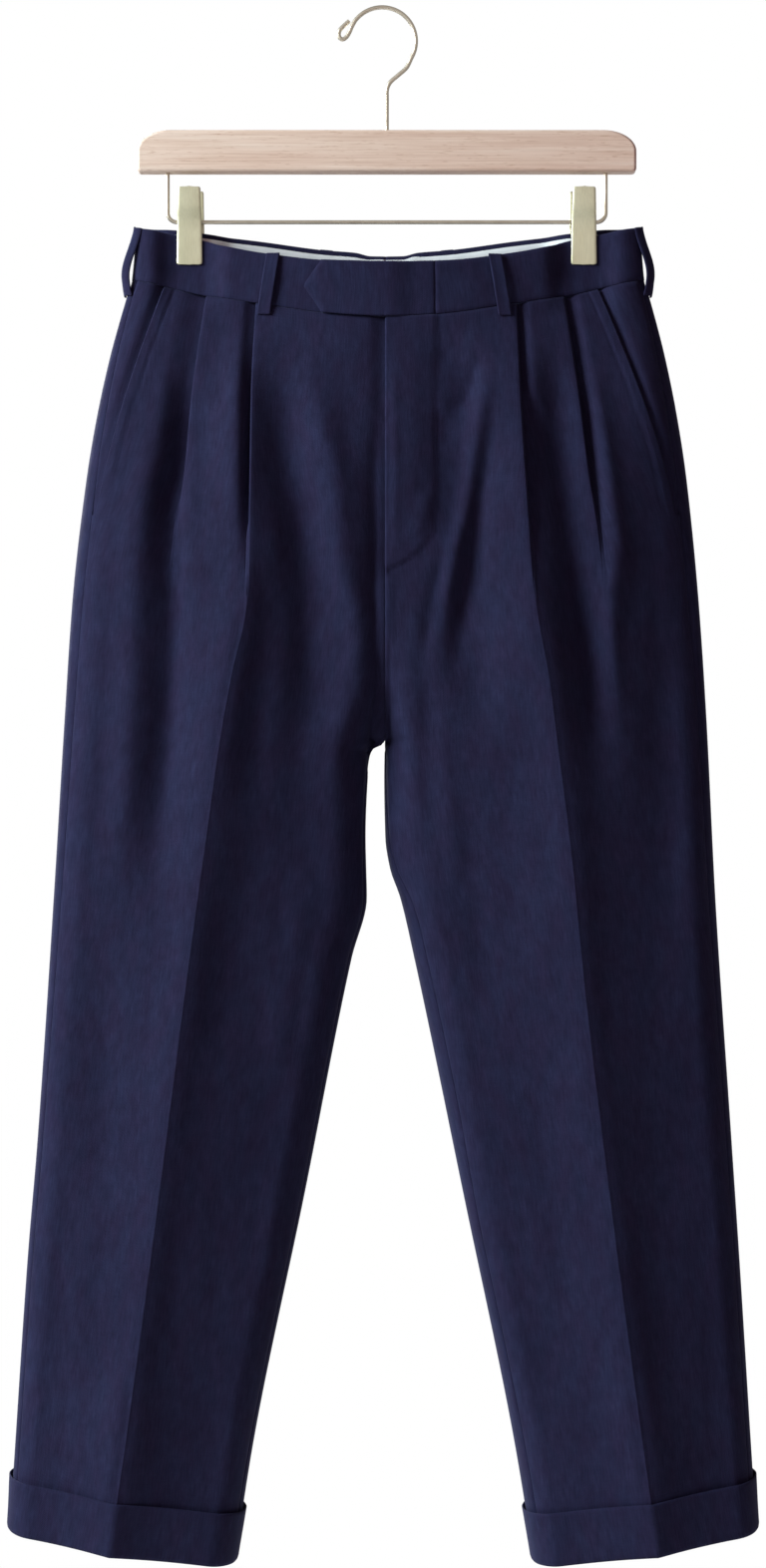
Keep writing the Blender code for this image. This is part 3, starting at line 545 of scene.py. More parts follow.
def front_columns(side, z):
    """The front's columns as (out, drop), each an array over the heights z of that column."""
    heights = iter(z.T)
    columns = []

    def run_in(pleat):
        for share in RUN_IN_SHARES:
            h = next(heights)
            fold = FOLD_LINES[pleat].at(side, h)
            end = fold - FOLDS[pleat].at("under", h)
            out = fold + PLEAT_CLEAR + (end - fold - PLEAT_CLEAR) * share
            columns.append((out, dip(side, pleat, out - fold, h)))
        for i in range(PLEAT_COLUMNS):
            columns.append(pleat_columns(side, pleat, next(heights))[i])

    for share in POCKET_SHARES:
        h = next(heights)
        fold, begin = OUTER_PLEAT.at(side, h), front_start(side, h)
        out = begin + (fold + PLEAT_CLEAR - begin) * share
        columns.append((out, dip(side, "outer", out - fold, h)))
    run_in("outer")
    for share in BETWEEN_SHARES:
        h = next(heights)
        crease = CREASE.at(side, h)
        begin, step = fold_edge("outer", side, h)
        out = begin + (crease + PLEAT_CLEAR - begin) * share
        columns.append((out, dip(side, "inner", out - crease, h) + rise(begin - out, step)))
    run_in("inner")
    for share in FLY_SHARES:
        h = next(heights)
        begin, step = fold_edge("inner", side, h)
        end, even = front_end(side, h), softened(lambda height: front_end(side, height), h)
        out = begin + (even - begin) * share + (end - even) * smooth_step(0.6, 1.0, share)
        drop = rise(begin - out, step)
        if side == "R":
            near_fly = 1.0 - smooth_step(2.0, 14.0, out)
            drop = drop + FLY_DROP * smooth_step(*FLY_DROP_HEIGHTS, h) * near_fly
        columns.append((out, drop))
    return np.stack([out for out, _ in columns], 1), np.stack([drop for _, drop in columns], 1)


def stitched(side, out, z):
    """Stitch lines and pressed seams of a front, in millimetres outwards."""
    inner = INNER.at(side, z)
    pocket = smooth_step(POCKET_END - 6.0, POCKET_END + 6.0, z)
    inside = front_start(side, z) - out
    result = pocket * (0.45 * smooth_step(8.5, 5.5, inside) - 0.4 * bump_at(inside, 7.6, 0.9))
    result -= 0.55 * fading(inside, 1.2) * (1.0 - pocket)
    if side == "L":
        away, along = line_field(out, z, FLY_STITCH, 1.0)
        down = np.maximum(FLY_CURVE_Z - z, 0.0) / FLY_CURVE_HEIGHT
        within = (FLY_CURVE_OUT - out) > FLY_CURVE_OUT * down**1.8
        raised = 0.5 + 0.5 * np.tanh(np.where(within, 1.0, -1.0) * away / 1.6)
        covered = smooth_step(FLY_END_Z - 10.0, FLY_END_Z + 4.0, z) * smooth_step(60.0, 38.0, out)
        line = 0.8 * np.exp(-((away / 1.1) ** 2)) * np.where(along < 1.0, 1.0, 0.0)
        result += covered * 0.9 * raised - line
    middle = smooth_step(FLY_END_Z, FLY_END_Z - 8.0, z) * smooth_step(CROTCH_Z - 5.0, CROTCH_Z + 6.0, z)
    result -= 0.8 * fading(out - inner, 1.6) * middle
    inseam = smooth_step(CROTCH_Z - 1.0, CROTCH_Z - 11.0, z)
    result -= 0.5 * fading(out - inner - INSEAM_IN.at(side, z), 1.2) * inseam
    waist = BAND.at("front_seam", np.clip(out, 0.0, BAND_OUT_END))
    return result - 0.5 * fading(waist - z, 1.4)


def front_grid(side, rows):
    """(rows, columns, 3) points of a front as out, fore, z in millimetres."""
    z = np.repeat(rows[:, None], FRONT_COUNT, 1)
    row = z.copy()
    out, drop = front_columns(side, z)
    for _ in range(3):
        z = row_height(True, side, row, out)
        out, drop = front_columns(side, z)
    bend = relief(side, "front", out, z) + stitched(side, out, z)
    if side == "R":
        bend *= smooth_step(0.0, FLY_SINK_REACH, out)
        sunk = smooth_step(-300.0, -420.0, z) * smooth_step(-552.0, -520.0, z)
        bend -= FLY_SINK * np.exp(-((out / FLY_SINK_REACH) ** 2)) * sunk
    return np.stack((out, depth(side, "front", out, z) - drop + bend, z), 2)


# The back's columns: round the side fold, across, and the last stretch to its inner seam
SIDE_SHARES = np.linspace(1.0, 1.0 / 7.0, 7)
ACROSS_TURNS = np.concatenate([
    np.linspace(0.0, 0.97, 30), [0.99, 1.0, 1.01], np.linspace(1.03, 1.95, 30),
])
END_SHARES = np.linspace(0.0, 1.0, 8)
BACK_COUNT = len(SIDE_SHARES) + len(ACROSS_TURNS) + len(END_SHARES)


def back_turns(side, z):
    """The turn of each of the back's columns, for z of shape (rows, BACK_COUNT)."""
    outer, crease, inner = leg_lines(side, z)
    side_turn = np.sqrt((SIDE_SEAM_IN.at(side, z) - GAP) / (outer - crease))
    inseam = np.maximum(INSEAM_IN.at(side, z) - GAP, 0.0) / (crease - inner)
    inner_turn = smooth_step(CROTCH_Z, CROTCH_Z - 6.0, z) * np.sqrt(inseam)
    first, last = len(SIDE_SHARES), -len(END_SHARES)
    turns = np.zeros_like(z)
    turns[:, :first] = -side_turn[:, :first] * SIDE_SHARES
    turns[:, first:last] = ACROSS_TURNS
    turns[:, last:] = 1.96 + (0.04 + inner_turn[:, last:]) * END_SHARES
    return turns


def back_grid(side, rows):
    """(rows, columns, 3) points of a back, from its side seam at the front round to its inner seam."""
    row = np.repeat(rows[:, None], BACK_COUNT, 1)
    turn = back_turns(side, row)
    out = out_at(side, np.where(turn > 2.0, turn - 4.0, turn), row)
    for _ in range(3):
        z = row_height((turn < 0.0) | (turn > 2.0), side, row, out)
        turn = back_turns(side, z)
        out, fore = ring_point(side, turn, z, 1.0)
    inner = INNER.at(side, z)
    edge = np.zeros(BACK_COUNT)
    edge[:3] = (0.6, 0.35, 0.1)
    middle = smooth_step(CROTCH_Z - 5.0, CROTCH_Z + 6.0, z) * fading(out - inner, 1.6) * (turn > 1.0)
    away, along = line_field(out, z, DART, 1.3)
    dart = 0.9 * np.exp(-away * away) * (1.0 - along) * (turn > 0.0)
    waist = 0.5 * fading(back_seam(np.clip(out, 0.0, BAND_OUT_END)) - z, 1.4)
    inward = edge + 0.8 * middle + dart + waist
    return np.stack((out, fore + np.where(turn > 0.0, inward, -inward) * (turn <= 2.0), z), 2)


def facing_grid(side, rows):
    """The pocket's side piece: level with the side seam, and running in under the pocket mouth."""
    shares = np.linspace(0.0, 1.0, 14)
    row = np.repeat(rows[:, None], len(shares), 1)
    out = OUTER.at(side, row) - 6.0
    for _ in range(4):
        z = row_height(True, side, row, out)
        seam = OUTER.at(side, z) - SIDE_SEAM_IN.at(side, z) - GAP
        mouth = np.minimum(POCKET_MOUTH.at(side, z), seam)
        out = seam + (mouth - 11.0 - seam) * shares
    gape = 1.5 + 1.1 * smooth_step(-330.0, -290.0, z)
    below = gape * smooth_step(9.0, 0.5, out - mouth)
    tail = smooth_step(-377.0, -381.5, z) * 1.9
    fore = depth(side, "front", out, z) - np.maximum(below, tail)
    fore += relief(side, "front", out, z)
    return np.stack((out, fore, z), 2)


def turn_of(side, out, face):
    """The turn, on the waistband's ring, of a point this far out."""
    outer, crease, inner = leg_lines(side, BAND_MIDDLE_Z)
    turn = 2.0 - (out - inner) / (crease - inner)
    if out > crease:
        turn = math.sqrt((outer - out) / (outer - crease))
    return -turn if face == "front" else turn


def band_grid(side, turns, shares, bend=1.0):
    """A grid of the waistband: share 0 at its top edge and 1 at the waist seam."""
    turn, share = np.broadcast_arrays(turns[None, :], shares if shares.ndim == 2 else shares[:, None])
    out = out_at(side, turn, np.full(turn.shape, BAND_MIDDLE_Z))
    for _ in range(3):
        at_front = turn < 0.0
        bottom = np.where(at_front, BAND.at("front_seam", out), back_seam(out)) + GAP
        top = np.where(at_front, BAND.at("front_top", out), BAND.at("back_top", out))
        z = top + (bottom - top) * share
        out, fore = ring_point(side, turn, z)
    inner = np.clip(share, 0.0, 1.0)
    hills = 0.35 * swell(21 + SIDES[side], out, z, 24.0, 70.0) * np.sin(np.pi * inner) * bend
    away = np.abs(out - CLIP_OUT) - 9.0
    pucker = bend * 0.35 * smooth_step(1.0, 5.0, away) * smooth_step(26.0, 8.0, away)
    pucker *= np.cos(away * 0.42 - 1.2) * (0.35 + 0.65 * inner)
    near_seam = -0.35 * bend * smooth_step(0.94, 1.0, share)
    shift = hills + pucker + near_seam
    return np.stack((out, fore + np.where(turn < 0.0, shift, -shift), z), 2)


def moved_out(points, lift):
    """Rows of (out, fore, z) points moved off the cloth along the normals of the rows in plan."""
    flat = points[:, :, :2]
    tangent = unit(np.gradient(flat, axis=1))
    normals = np.stack((tangent[:, :, 1], -tangent[:, :, 0]), 2)
    moved = points.copy()
    moved[:, :, :2] -= normals * np.broadcast_to(lift, flat.shape[:2])[:, :, None]
    return moved


def to_world(side, points):
    """Points of one side, given as out, fore and z in millimetres, in the frame's metres."""
    world = np.empty_like(points)
    world[:, :, 0] = SIDES[side] * points[:, :, 0]
    world[:, :, 1] = -points[:, :, 1]
    world[:, :, 2] = points[:, :, 2]
    return world * MM


def grid_normals(points, closed):
    """Unit normals of a grid, whose columns may lie at uneven distances."""
    ring = np.concatenate([points[:, -1:], points, points[:, :1]], 1) if closed else points
    steps = np.diff(ring, axis=1)
    lengths = np.maximum(np.linalg.norm(steps, axis=2), 1e-9)[:, :, None]
    ways = steps / lengths
    before, after = lengths[:, :-1], lengths[:, 1:]
    across = (before * ways[:, 1:] + after * ways[:, :-1]) / (before + after)
    if not closed:
        across = np.concatenate([ways[:, :1], across, ways[:, -1:]], 1)
    return unit(np.cross(across, np.gradient(points, axis=0)))


def quad_mesh(name, vertices, faces, uvs):
    mesh = bpy.data.meshes.new(name)
    mesh.vertices.add(len(vertices))
    mesh.vertices.foreach_set("co", vertices.astype(np.float32).ravel())
    mesh.loops.add(faces.size)
    mesh.loops.foreach_set("vertex_index", faces.astype(np.int32).ravel())
    mesh.polygons.add(len(faces))
    mesh.polygons.foreach_set("loop_start", np.arange(0, faces.size, 4, dtype=np.int32))
    mesh.update(calc_edges=True)
    layer = mesh.uv_layers.new(name="weave")
    layer.data.foreach_set("uv", uvs.astype(np.float32).ravel())
    mesh.shade_smooth()
    mesh.validate()
    return mesh


def linked(name, data):
    obj = bpy.data.objects.new(name, data)
    bpy.context.scene.collection.objects.link(obj)
    return obj


def cloth_lengths(points, closed):
    """Lengths of cloth across each row of a grid and down it."""
    ring = np.concatenate([points, points[:, :1]], 1) if closed else points
    across = np.zeros(ring.shape[:2])
    across[:, 1:] = np.cumsum(np.linalg.norm(np.diff(ring, axis=1), axis=2), 1)
    if not closed:
        across -= across.mean(1)[:, None]
    down = np.zeros(points.shape[:2])
    down[1:] = np.cumsum(np.linalg.norm(np.diff(points, axis=0), axis=2), 0)
    return across, down.mean(1)


def edge_loops(index, closed):
    """The edges of a grid as loops of point numbers, each with the numbers of the points next to it."""
    if closed:
        return [(index[0], index[1]), (index[-1][::-1], index[-2][::-1])]
    rows, columns = index.shape
    edge = np.concatenate([index[0], index[1:, -1], index[-1, -2::-1], index[-2:0:-1, 0]])
    near = np.concatenate([index[1], index[1:, -2], index[-2, -2::-1], index[-2:0:-1, 1]])
    near[0], near[columns - 1] = index[1, 1], index[1, -2]
    near[columns + rows - 2], near[2 * columns + rows - 3] = index[-2, -2], index[-2, 1]
    return [(edge, near)]


def shell(name, points, thickness, material, away_from, closed=False):
    """A cloth wall about a grid of world points, with rounded edges and a UV map in metres of cloth."""
    rows, columns = points.shape[:2]
    normals = grid_normals(points, closed)
    flat = points - np.array(away_from)
    flat[:, :, 2] = 0.0
    facing = 1.0 if (normals * flat).sum() > 0.0 else -1.0
    normals = normals * facing
    half = thickness * MM / 2.0
    u, v = cloth_lengths(points, closed)
    index = np.arange(rows * columns).reshape(rows, columns)
    last = columns if closed else columns - 1
    i, j = np.meshgrid(np.arange(rows - 1), np.arange(last), indexing="ij")
    i, j = i.ravel(), j.ravel()
    k = (j + 1) % columns
    quad = np.stack((index[i, j], index[i + 1, j], index[i + 1, k], index[i, k]), 1)
    corners = ((i, j), (i + 1, j), (i + 1, j + 1), (i, j + 1))
    uv = np.stack([np.stack((u[a, b], -v[a]), 1) for a, b in corners], 1)
    if facing > 0.0:
        quad, uv = quad[:, ::-1], uv[:, ::-1]
    count = rows * columns
    points, normals = points.reshape(-1, 3), normals.reshape(-1, 3)
    vertices = [points + normals * half, points - normals * half]
    faces = [quad, quad[:, ::-1] + count]
    uvs = [uv, uv[:, ::-1]]
    point_uv = np.stack((u[:, :columns].ravel(), -np.repeat(v, columns)), 1)
    base = 2 * count
    for edge, near in edge_loops(index, closed):
        push = points[edge] - points[near]
        normal = normals[edge]
        push -= normal * (push * normal).sum(1)[:, None]
        vertices.append(points[edge] + unit(push) * half)
        a = np.arange(len(edge))
        b = (a + 1) % len(edge)
        first = np.stack((edge[a], edge[b], base + b, base + a), 1)
        second = np.stack((base + a, base + b, edge[b] + count, edge[a] + count), 1)
        pair = point_uv[edge]
        edge_uv = np.stack((pair[a], pair[b], pair[b], pair[a]), 1)
        if facing > 0.0:
            first, second, edge_uv = first[:, ::-1], second[:, ::-1], edge_uv[:, ::-1]
        faces += [first, second]
        uvs += [edge_uv, edge_uv]
        base += len(edge)
    mesh = quad_mesh(name, np.concatenate(vertices), np.concatenate(faces), np.concatenate(uvs))
    mesh.materials.append(material)
    return linked(name, mesh)


def finished(obj, slot, *nodes):
    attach(obj, "root")
    if nodes:
        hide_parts(*nodes)
    return obj


# Materials
def set_sockets(node, **values):
    for key, value in values.items():
        node.inputs[key.replace("_", " ")].default_value = value


def new_material(name, roughness, metallic=0.0):
    material = bpy.data.materials.new(name)
    material.use_nodes = True
    tree = material.node_tree
    shader = tree.nodes["Principled BSDF"]
    set_sockets(shader, Roughness=roughness, Metallic=metallic)
    return material, tree, shader


def add_node(tree, kind, **sockets):
    node = tree.nodes.new(kind)
    set_sockets(node, **sockets)
    return node


def mapped(tree, source, scale, turn=0.0):
    mapping = add_node(tree, "ShaderNodeMapping", Scale=scale, Rotation=(0.0, 0.0, turn))
    tree.links.new(source, mapping.inputs["Vector"])
    return mapping.outputs["Vector"]


def noise(tree, source, scale, detail=2.0, rough=0.5):
    node = add_node(tree, "ShaderNodeTexNoise", Scale=scale, Detail=detail, Roughness=rough)
    tree.links.new(source, node.inputs["Vector"])
    return node.outputs["Fac"]


def wave(tree, source, pitch, distort):
    """Bands across X with this pitch in metres."""
    node = add_node(tree, "ShaderNodeTexWave", Scale=0.31416 / pitch, Distortion=distort, Detail=1.0)
    node.bands_direction = "X"
    tree.links.new(source, node.inputs["Vector"])
    return node.outputs["Fac"]


def ramp(tree, source, stops):
    node = tree.nodes.new("ShaderNodeValToRGB")
    elements = node.color_ramp.elements
    while len(elements) < len(stops):
        elements.new(0.5)
    for element, (place, color) in zip(elements, stops):
        element.position = place
        element.color = (*color, 1.0)
    tree.links.new(source, node.inputs["Fac"])
    return node.outputs["Color"]


def blend(tree, kind, factor, first, second):
    node = tree.nodes.new("ShaderNodeMix")
    node.data_type = "RGBA"
    node.blend_type = kind
    for socket, value in ((0, factor), (6, first), (7, second)):
        if isinstance(value, (float, tuple)):
            node.inputs[socket].default_value = value
        else:
            tree.links.new(value, node.inputs[socket])
    return node.outputs[2]


def math_node(tree, kind, first, second):
    node = tree.nodes.new("ShaderNodeMath")
    node.operation = kind
    for socket, value in enumerate((first, second)):
        if isinstance(value, float):
            node.inputs[socket].default_value = value
        else:
            tree.links.new(value, node.inputs[socket])
    return node.outputs[0]


def tinted(tree, color, source, stops, share=1.0):
    return blend(tree, "MULTIPLY", share, color, ramp(tree, source, stops))


def glossy(tree, shader, source, low, high):
    """Roughness between these two values, as the source runs."""
    rough = ramp(tree, source, [(0.3, (low, low, low)), (0.7, (high, high, high))])
    tree.links.new(rough, shader.inputs["Roughness"])


def bumped(tree, shader, height, distance, strength, normal=None):
    node = add_node(tree, "ShaderNodeBump", Strength=strength, Distance=distance)
    tree.links.new(height, node.inputs["Height"])
    if normal is not None:
        tree.links.new(normal, node.inputs["Normal"])
    tree.links.new(node.outputs["Normal"], shader.inputs["Normal"])
    return node.outputs["Normal"]


def weave_place(tree):
    node = tree.nodes.new("ShaderNodeUVMap")
    node.uv_map = "weave"
    return node.outputs["UV"]


def object_place(tree):
    return tree.nodes.new("ShaderNodeTexCoord").outputs["Object"]


WHITE = (1.0, 1.0, 1.0)


def wool_material():
    material, tree, shader = new_material("navy_wool", 0.86)
    cloth = weave_place(tree)
    uneven = noise(tree, mapped(tree, cloth, (1.0, 0.5, 1.0)), 150.0, 3.0, 0.6)
    cloudy = noise(tree, mapped(tree, cloth, (1.0, 0.45, 1.0)), 22.0, 3.0, 0.55)
    slub = noise(tree, mapped(tree, cloth, (1.0, 0.06, 1.0)), 1100.0, 2.0, 0.6)
    weft = noise(tree, mapped(tree, cloth, (0.08, 1.0, 1.0)), 1000.0, 2.0, 0.6)
    fuzz = noise(tree, cloth, 2600.0, 2.0, 0.6)
    patchy = noise(tree, mapped(tree, cloth, (1.0, 0.4, 1.0)), 70.0, 2.0, 0.5)
    color = ramp(tree, cloudy, [
        (0.3, (0.0143, 0.0143, 0.0420)), (0.5, (0.0160, 0.0162, 0.0465)), (0.72, (0.0178, 0.0184, 0.0510)),
    ])
    for source, stops in (
        (uneven, [(0.3, (0.82, 0.80, 0.83)), (0.55, WHITE), (0.8, (1.20, 1.22, 1.19))]),
        (patchy, [(0.35, (1.05, 0.92, 0.95)), (0.5, WHITE), (0.65, (0.96, 1.07, 1.05))]),
        (slub, [(0.3, (0.78, 0.77, 0.80)), (0.5, WHITE), (0.72, (1.24, 1.23, 1.19))]),
        (weft, [(0.3, (0.92, 0.91, 0.93)), (0.6, WHITE), (0.8, (1.07, 1.07, 1.05))]),
    ):
        color = tinted(tree, color, source, stops)
    tree.links.new(color, shader.inputs["Base Color"])
    twill = wave(tree, mapped(tree, cloth, WHITE, math.radians(62.0)), 0.00105, 1.2)
    height = math_node(tree, "MULTIPLY", twill, 0.55)
    height = math_node(tree, "ADD", height, math_node(tree, "MULTIPLY", slub, 0.8))
    height = math_node(tree, "ADD", height, math_node(tree, "MULTIPLY", fuzz, 0.5))
    fine = bumped(tree, shader, height, 0.00011, 0.8)
    bumped(tree, shader, uneven, 0.0003, 0.5, fine)
    set_sockets(shader, Specular_IOR_Level=0.10, Sheen_Weight=0.06, Sheen_Roughness=0.45)
    set_sockets(shader, Sheen_Tint=(0.45, 0.5, 0.85, 1.0))
    return material


def lining_material():
    material, tree, shader = new_material("waist_lining", 0.6)
    cloth = weave_place(tree)
    color = ramp(tree, noise(tree, cloth, 60.0, 3.0), [(0.3, (0.70, 0.76, 0.76)), (0.7, (0.82, 0.87, 0.87))])
    tree.links.new(color, shader.inputs["Base Color"])
    threads = wave(tree, mapped(tree, cloth, WHITE, math.radians(45.0)), 0.0006, 0.5)
    bumped(tree, shader, threads, 0.00006, 0.6)
    set_sockets(shader, Sheen_Weight=0.1)
    return material


def beech_material():
    material, tree, shader = new_material("beech", 0.42)
    place = object_place(tree)
    grain = noise(tree, mapped(tree, place, (2.2, 60.0, 60.0)), 3.2, 5.0, 0.62)
    streak = noise(tree, mapped(tree, place, (6.0, 420.0, 420.0)), 2.0, 3.0, 0.6)
    broad = noise(tree, mapped(tree, place, (3.0, 14.0, 14.0)), 1.2, 2.0)
    pores = noise(tree, mapped(tree, place, (110.0, 1500.0, 1500.0)), 1.0, 1.0)
    color = ramp(tree, grain, [
        (0.28, (0.75, 0.572, 0.457)), (0.5, (0.865, 0.712, 0.59)), (0.75, (0.93, 0.82, 0.71)),
    ])
    color = tinted(tree, color, broad, [(0.3, (0.93, 0.86, 0.83)), (0.7, (1.04, 1.04, 1.02))])
    color = tinted(tree, color, streak, [(0.35, (0.88, 0.84, 0.80)), (0.6, WHITE)])
    color = tinted(tree, color, pores, [(0.27, (0.74, 0.64, 0.56)), (0.36, WHITE)], 0.7)
    tree.links.new(color, shader.inputs["Base Color"])
    glossy(tree, shader, grain, 0.5, 0.36)
    bumped(tree, shader, streak, 0.00012, 0.6)
    set_sockets(shader, Specular_IOR_Level=0.35, Coat_Weight=0.15, Coat_Roughness=0.35)
    return material


def wire_material():
    material, tree, shader = new_material("satin_wire", 0.26, 1.0)
    place = object_place(tree)
    patch = noise(tree, place, 90.0, 3.0)
    color = ramp(tree, patch, [(0.3, (0.56, 0.495, 0.39)), (0.7, (0.66, 0.59, 0.475))])
    tree.links.new(color, shader.inputs["Base Color"])
    glossy(tree, shader, noise(tree, place, 120.0, 3.0), 0.34, 0.46)
    return material


def clip_material():
    material, tree, shader = new_material("champagne_clip", 0.42, 0.55)
    place = object_place(tree)
    patch = noise(tree, place, 55.0, 3.0)
    brushed = noise(tree, mapped(tree, place, (1.0, 1.0, 0.05)), 1800.0, 2.0)
    color = ramp(tree, patch, [(0.3, (0.665, 0.645, 0.435)), (0.7, (0.755, 0.735, 0.52))])
    color = tinted(tree, color, brushed, [(0.3, (0.93, 0.93, 0.92)), (0.7, (1.05, 1.05, 1.04))])
    tree.links.new(color, shader.inputs["Base Color"])
    glossy(tree, shader, patch, 0.36, 0.48)
    bumped(tree, shader, brushed, 0.00002, 0.6)
    return material


WOOL = wool_material()
LINING = lining_material()
BEECH = beech_material()
WIRE = wire_material()
CLIP = clip_material()


def panel_rows(top, middle, bottom):
    return np.concatenate([
        np.linspace(PANEL_TOP, PANEL_BREAKS[0], top), np.linspace(*PANEL_BREAKS, middle)[1:],
        np.linspace(PANEL_BREAKS[1], HEM_Z, bottom)[1:],
    ])


def sewn(name, side, grid, nodes, middle, thickness=CLOTH, closed=False):
    """A wool piece of one side, made from its grid of points, in the place of its nodes."""
    centre = (SIDES[side] * middle, 0.0, 0.0)
    piece = shell(name + "_" + side, to_world(side, grid), thickness, WOOL, centre, closed)
    return finished(piece, "wool", *(node + "_" + side for node in nodes))


def panels(side):
    grid = front_grid(side, panel_rows(122, 58, 140))
    sewn("front_cloth", side, grid, ("front_panel", "front_leg"), LEG_MIDDLE)
    grid = back_grid(side, panel_rows(90, 48, 110))
    sewn("back_cloth", side, grid, ("back_panel", "back_leg"), LEG_MIDDLE)
    grid = facing_grid(side, np.linspace(PANEL_TOP, FACING_BOTTOM, 44))
    sewn("pocket_cloth", side, grid, ("pocket_facing",), LEG_MIDDLE)


def waistband(side):
    start = float(INNER.at(side, BAND_MIDDLE_Z)) + 0.4 if side == "R" else TAB_SEAM_X - 1.4
    front_turns = np.linspace(turn_of(side, start, "front"), 0.0, 96)
    turns = np.concatenate([front_turns, np.linspace(0.0, BACK_END_TURN, 100)[1:]])
    grid = band_grid(side, turns, np.linspace(0.0, 1.0, 15))
    if side == "L":
        under_tab = (1.0 - smooth_step(0.0, 2.4, grid[:, :, 0] - start)) * (turns < 0.0)
        grid = moved_out(grid, -1.6 * under_tab)
    band = sewn("band_cloth", side, grid, ("waistband",), BAND_MIDDLE, BAND_CLOTH)


def lining(side):
    """The pale lining inside the back of the waistband, its top edge a little below the band's."""
    turns = np.linspace(LINING_START_TURN, BACK_END_TURN, 90)
    out = out_at(side, turns, np.full(90, BAND_MIDDLE_Z))
    if side == "R":
        below = 2.5 + 1.2 * smooth_step(6.0, 24.0, out)
    else:
        below = 2.8 + 0.9 * smooth_step(18.0, 30.0, out) - 0.5 * bump_at(out, 20.0, 3.0)
    top = below / BAND_HEIGHT
    shares = top[None, :] + (0.98 - top)[None, :] * np.linspace(0.0, 1.0, 12)[:, None]
    grid = moved_out(band_grid(side, turns, shares), -LINING_INSET)
    centre = (SIDES[side] * BAND_MIDDLE, 0.0, 0.0)
    piece = shell("lining_cloth_" + side, to_world(side, grid), LINING_CLOTH, LINING, centre)
    finished(piece, "lining", "waistband_lining_" + side)


def front_lifted(side, out, z, lift):
    """(out, fore) of points moved off the front along its normal in plan."""
    slope = depth(side, "front", out + 0.5, z) - depth(side, "front", out - 0.5, z)
    length = np.hypot(1.0, slope)
    return out - lift * slope / length, depth(side, "front", out, z) + lift / length


def tab():
    x = np.concatenate([
        np.linspace(TAB_SEAM_X - GAP, TAB_SHOULDER_X, 60), np.linspace(TAB_SHOULDER_X, TAB_POINT_X, 16)[1:],
    ])
    share = np.array([0.0, 0.03, 0.065, 0.11, 0.2, 0.35, 0.5, 0.65, 0.8, 0.89, 0.935, 0.97, 1.0])[:, None]
    taper = np.clip((TAB_SHOULDER_X - x) / (TAB_SHOULDER_X - TAB_POINT_X), 0.0, 1.0)
    top = BAND.at("front_top", np.abs(x))
    bottom = BAND.at("front_seam", np.abs(x)) + GAP
    top = top + (TAB_POINT_Z + TAB_POINT_HALF - top) * taper
    bottom = bottom + (TAB_POINT_Z - TAB_POINT_HALF - bottom) * taper
    z = top + (bottom - top) * share
    x = np.broadcast_to(x, z.shape)
    lift = TAB_LIFT * (1.0 - smooth_step(0.5, 22.0, x))
    from_edge = np.minimum(share, 1.0 - share) * (top - bottom)
    pointed = smooth_step(TAB_SHOULDER_X + 3.0, TAB_SHOULDER_X - 1.0, x)
    lift = lift - pointed * np.exp(-from_edge / 2.6)
    hills = 0.3 * swell(33, x, z, 26.0, 60.0) * np.sin(np.pi * share)
    lift = lift + hills - 0.4 * bump_at(x, TAB_SEAM_X, 1.2)
    points = np.zeros((*z.shape, 3))
    for side in SIDES:
        out, fore = front_lifted(side, np.abs(x), z, lift)
        here = (x >= 0.0) if side == "L" else (x < 0.0)
        points[here] = np.stack((out * SIDES[side], fore, z), 2)[here]
    obj = shell("tab_cloth", to_world("L", points), BAND_CLOTH, WOOL, (0.0, 0.0, 0.0))
    finished(obj, "wool", "waistband_tab")


def loop_profile(across):
    """The folded edges of a belt loop stand a little above its middle."""
    return 0.28 * np.abs(across * 2.0) ** 3


def belt_loops(side):
    share = np.linspace(0.0, 1.0, 40)[:, None]
    across = np.linspace(-0.5, 0.5, 11)[None, :]
    top_out, bottom_out = FRONT_LOOP_OUT[side]
    middle = top_out + (bottom_out - top_out) * share
    top = BAND.at("front_top", middle) + 1.0
    bottom = BAND.at("front_seam", middle) - LOOP_BELOW_SEAM
    z = top + (bottom - top) * share + 0.0 * across
    lift = LOOP_LIFT + LOOP_BOW * np.sin(np.pi * share) + loop_profile(across)
    out, fore = front_lifted(side, middle + across * LOOP_WIDTH, z, lift)
    grids = {"front": np.stack((out, fore, z), 2)}
    shares = -0.02 + (BAND_HEIGHT + LOOP_BELOW_SEAM) / BAND_HEIGHT * share[:, 0]
    long_shares = -0.02 + (BAND_HEIGHT + SIDE_LOOP_BELOW_SEAM) / BAND_HEIGHT * share[:, 0]
    grid = band_grid(side, np.linspace(*SIDE_LOOP_TURNS, 11), long_shares, 0.0)
    grid[:, :, 0] += SIDE_LOOP_LIFT + SIDE_LOOP_BOW * np.sin(np.pi * share**1.5)
    grids["side"] = grid
    turns = np.array([turn_of(side, BACK_LOOP_OUT - a * LOOP_WIDTH, "back") for a in across[0]])
    grid = band_grid(side, turns, shares, 0.0)
    grids["back"] = moved_out(grid, LOOP_LIFT + LOOP_BOW * np.sin(np.pi * share**0.9) + loop_profile(across))
    for place, grid in grids.items():
        loop = sewn("loop_" + place, side, grid, ("belt_loop_" + place,), BAND_MIDDLE)


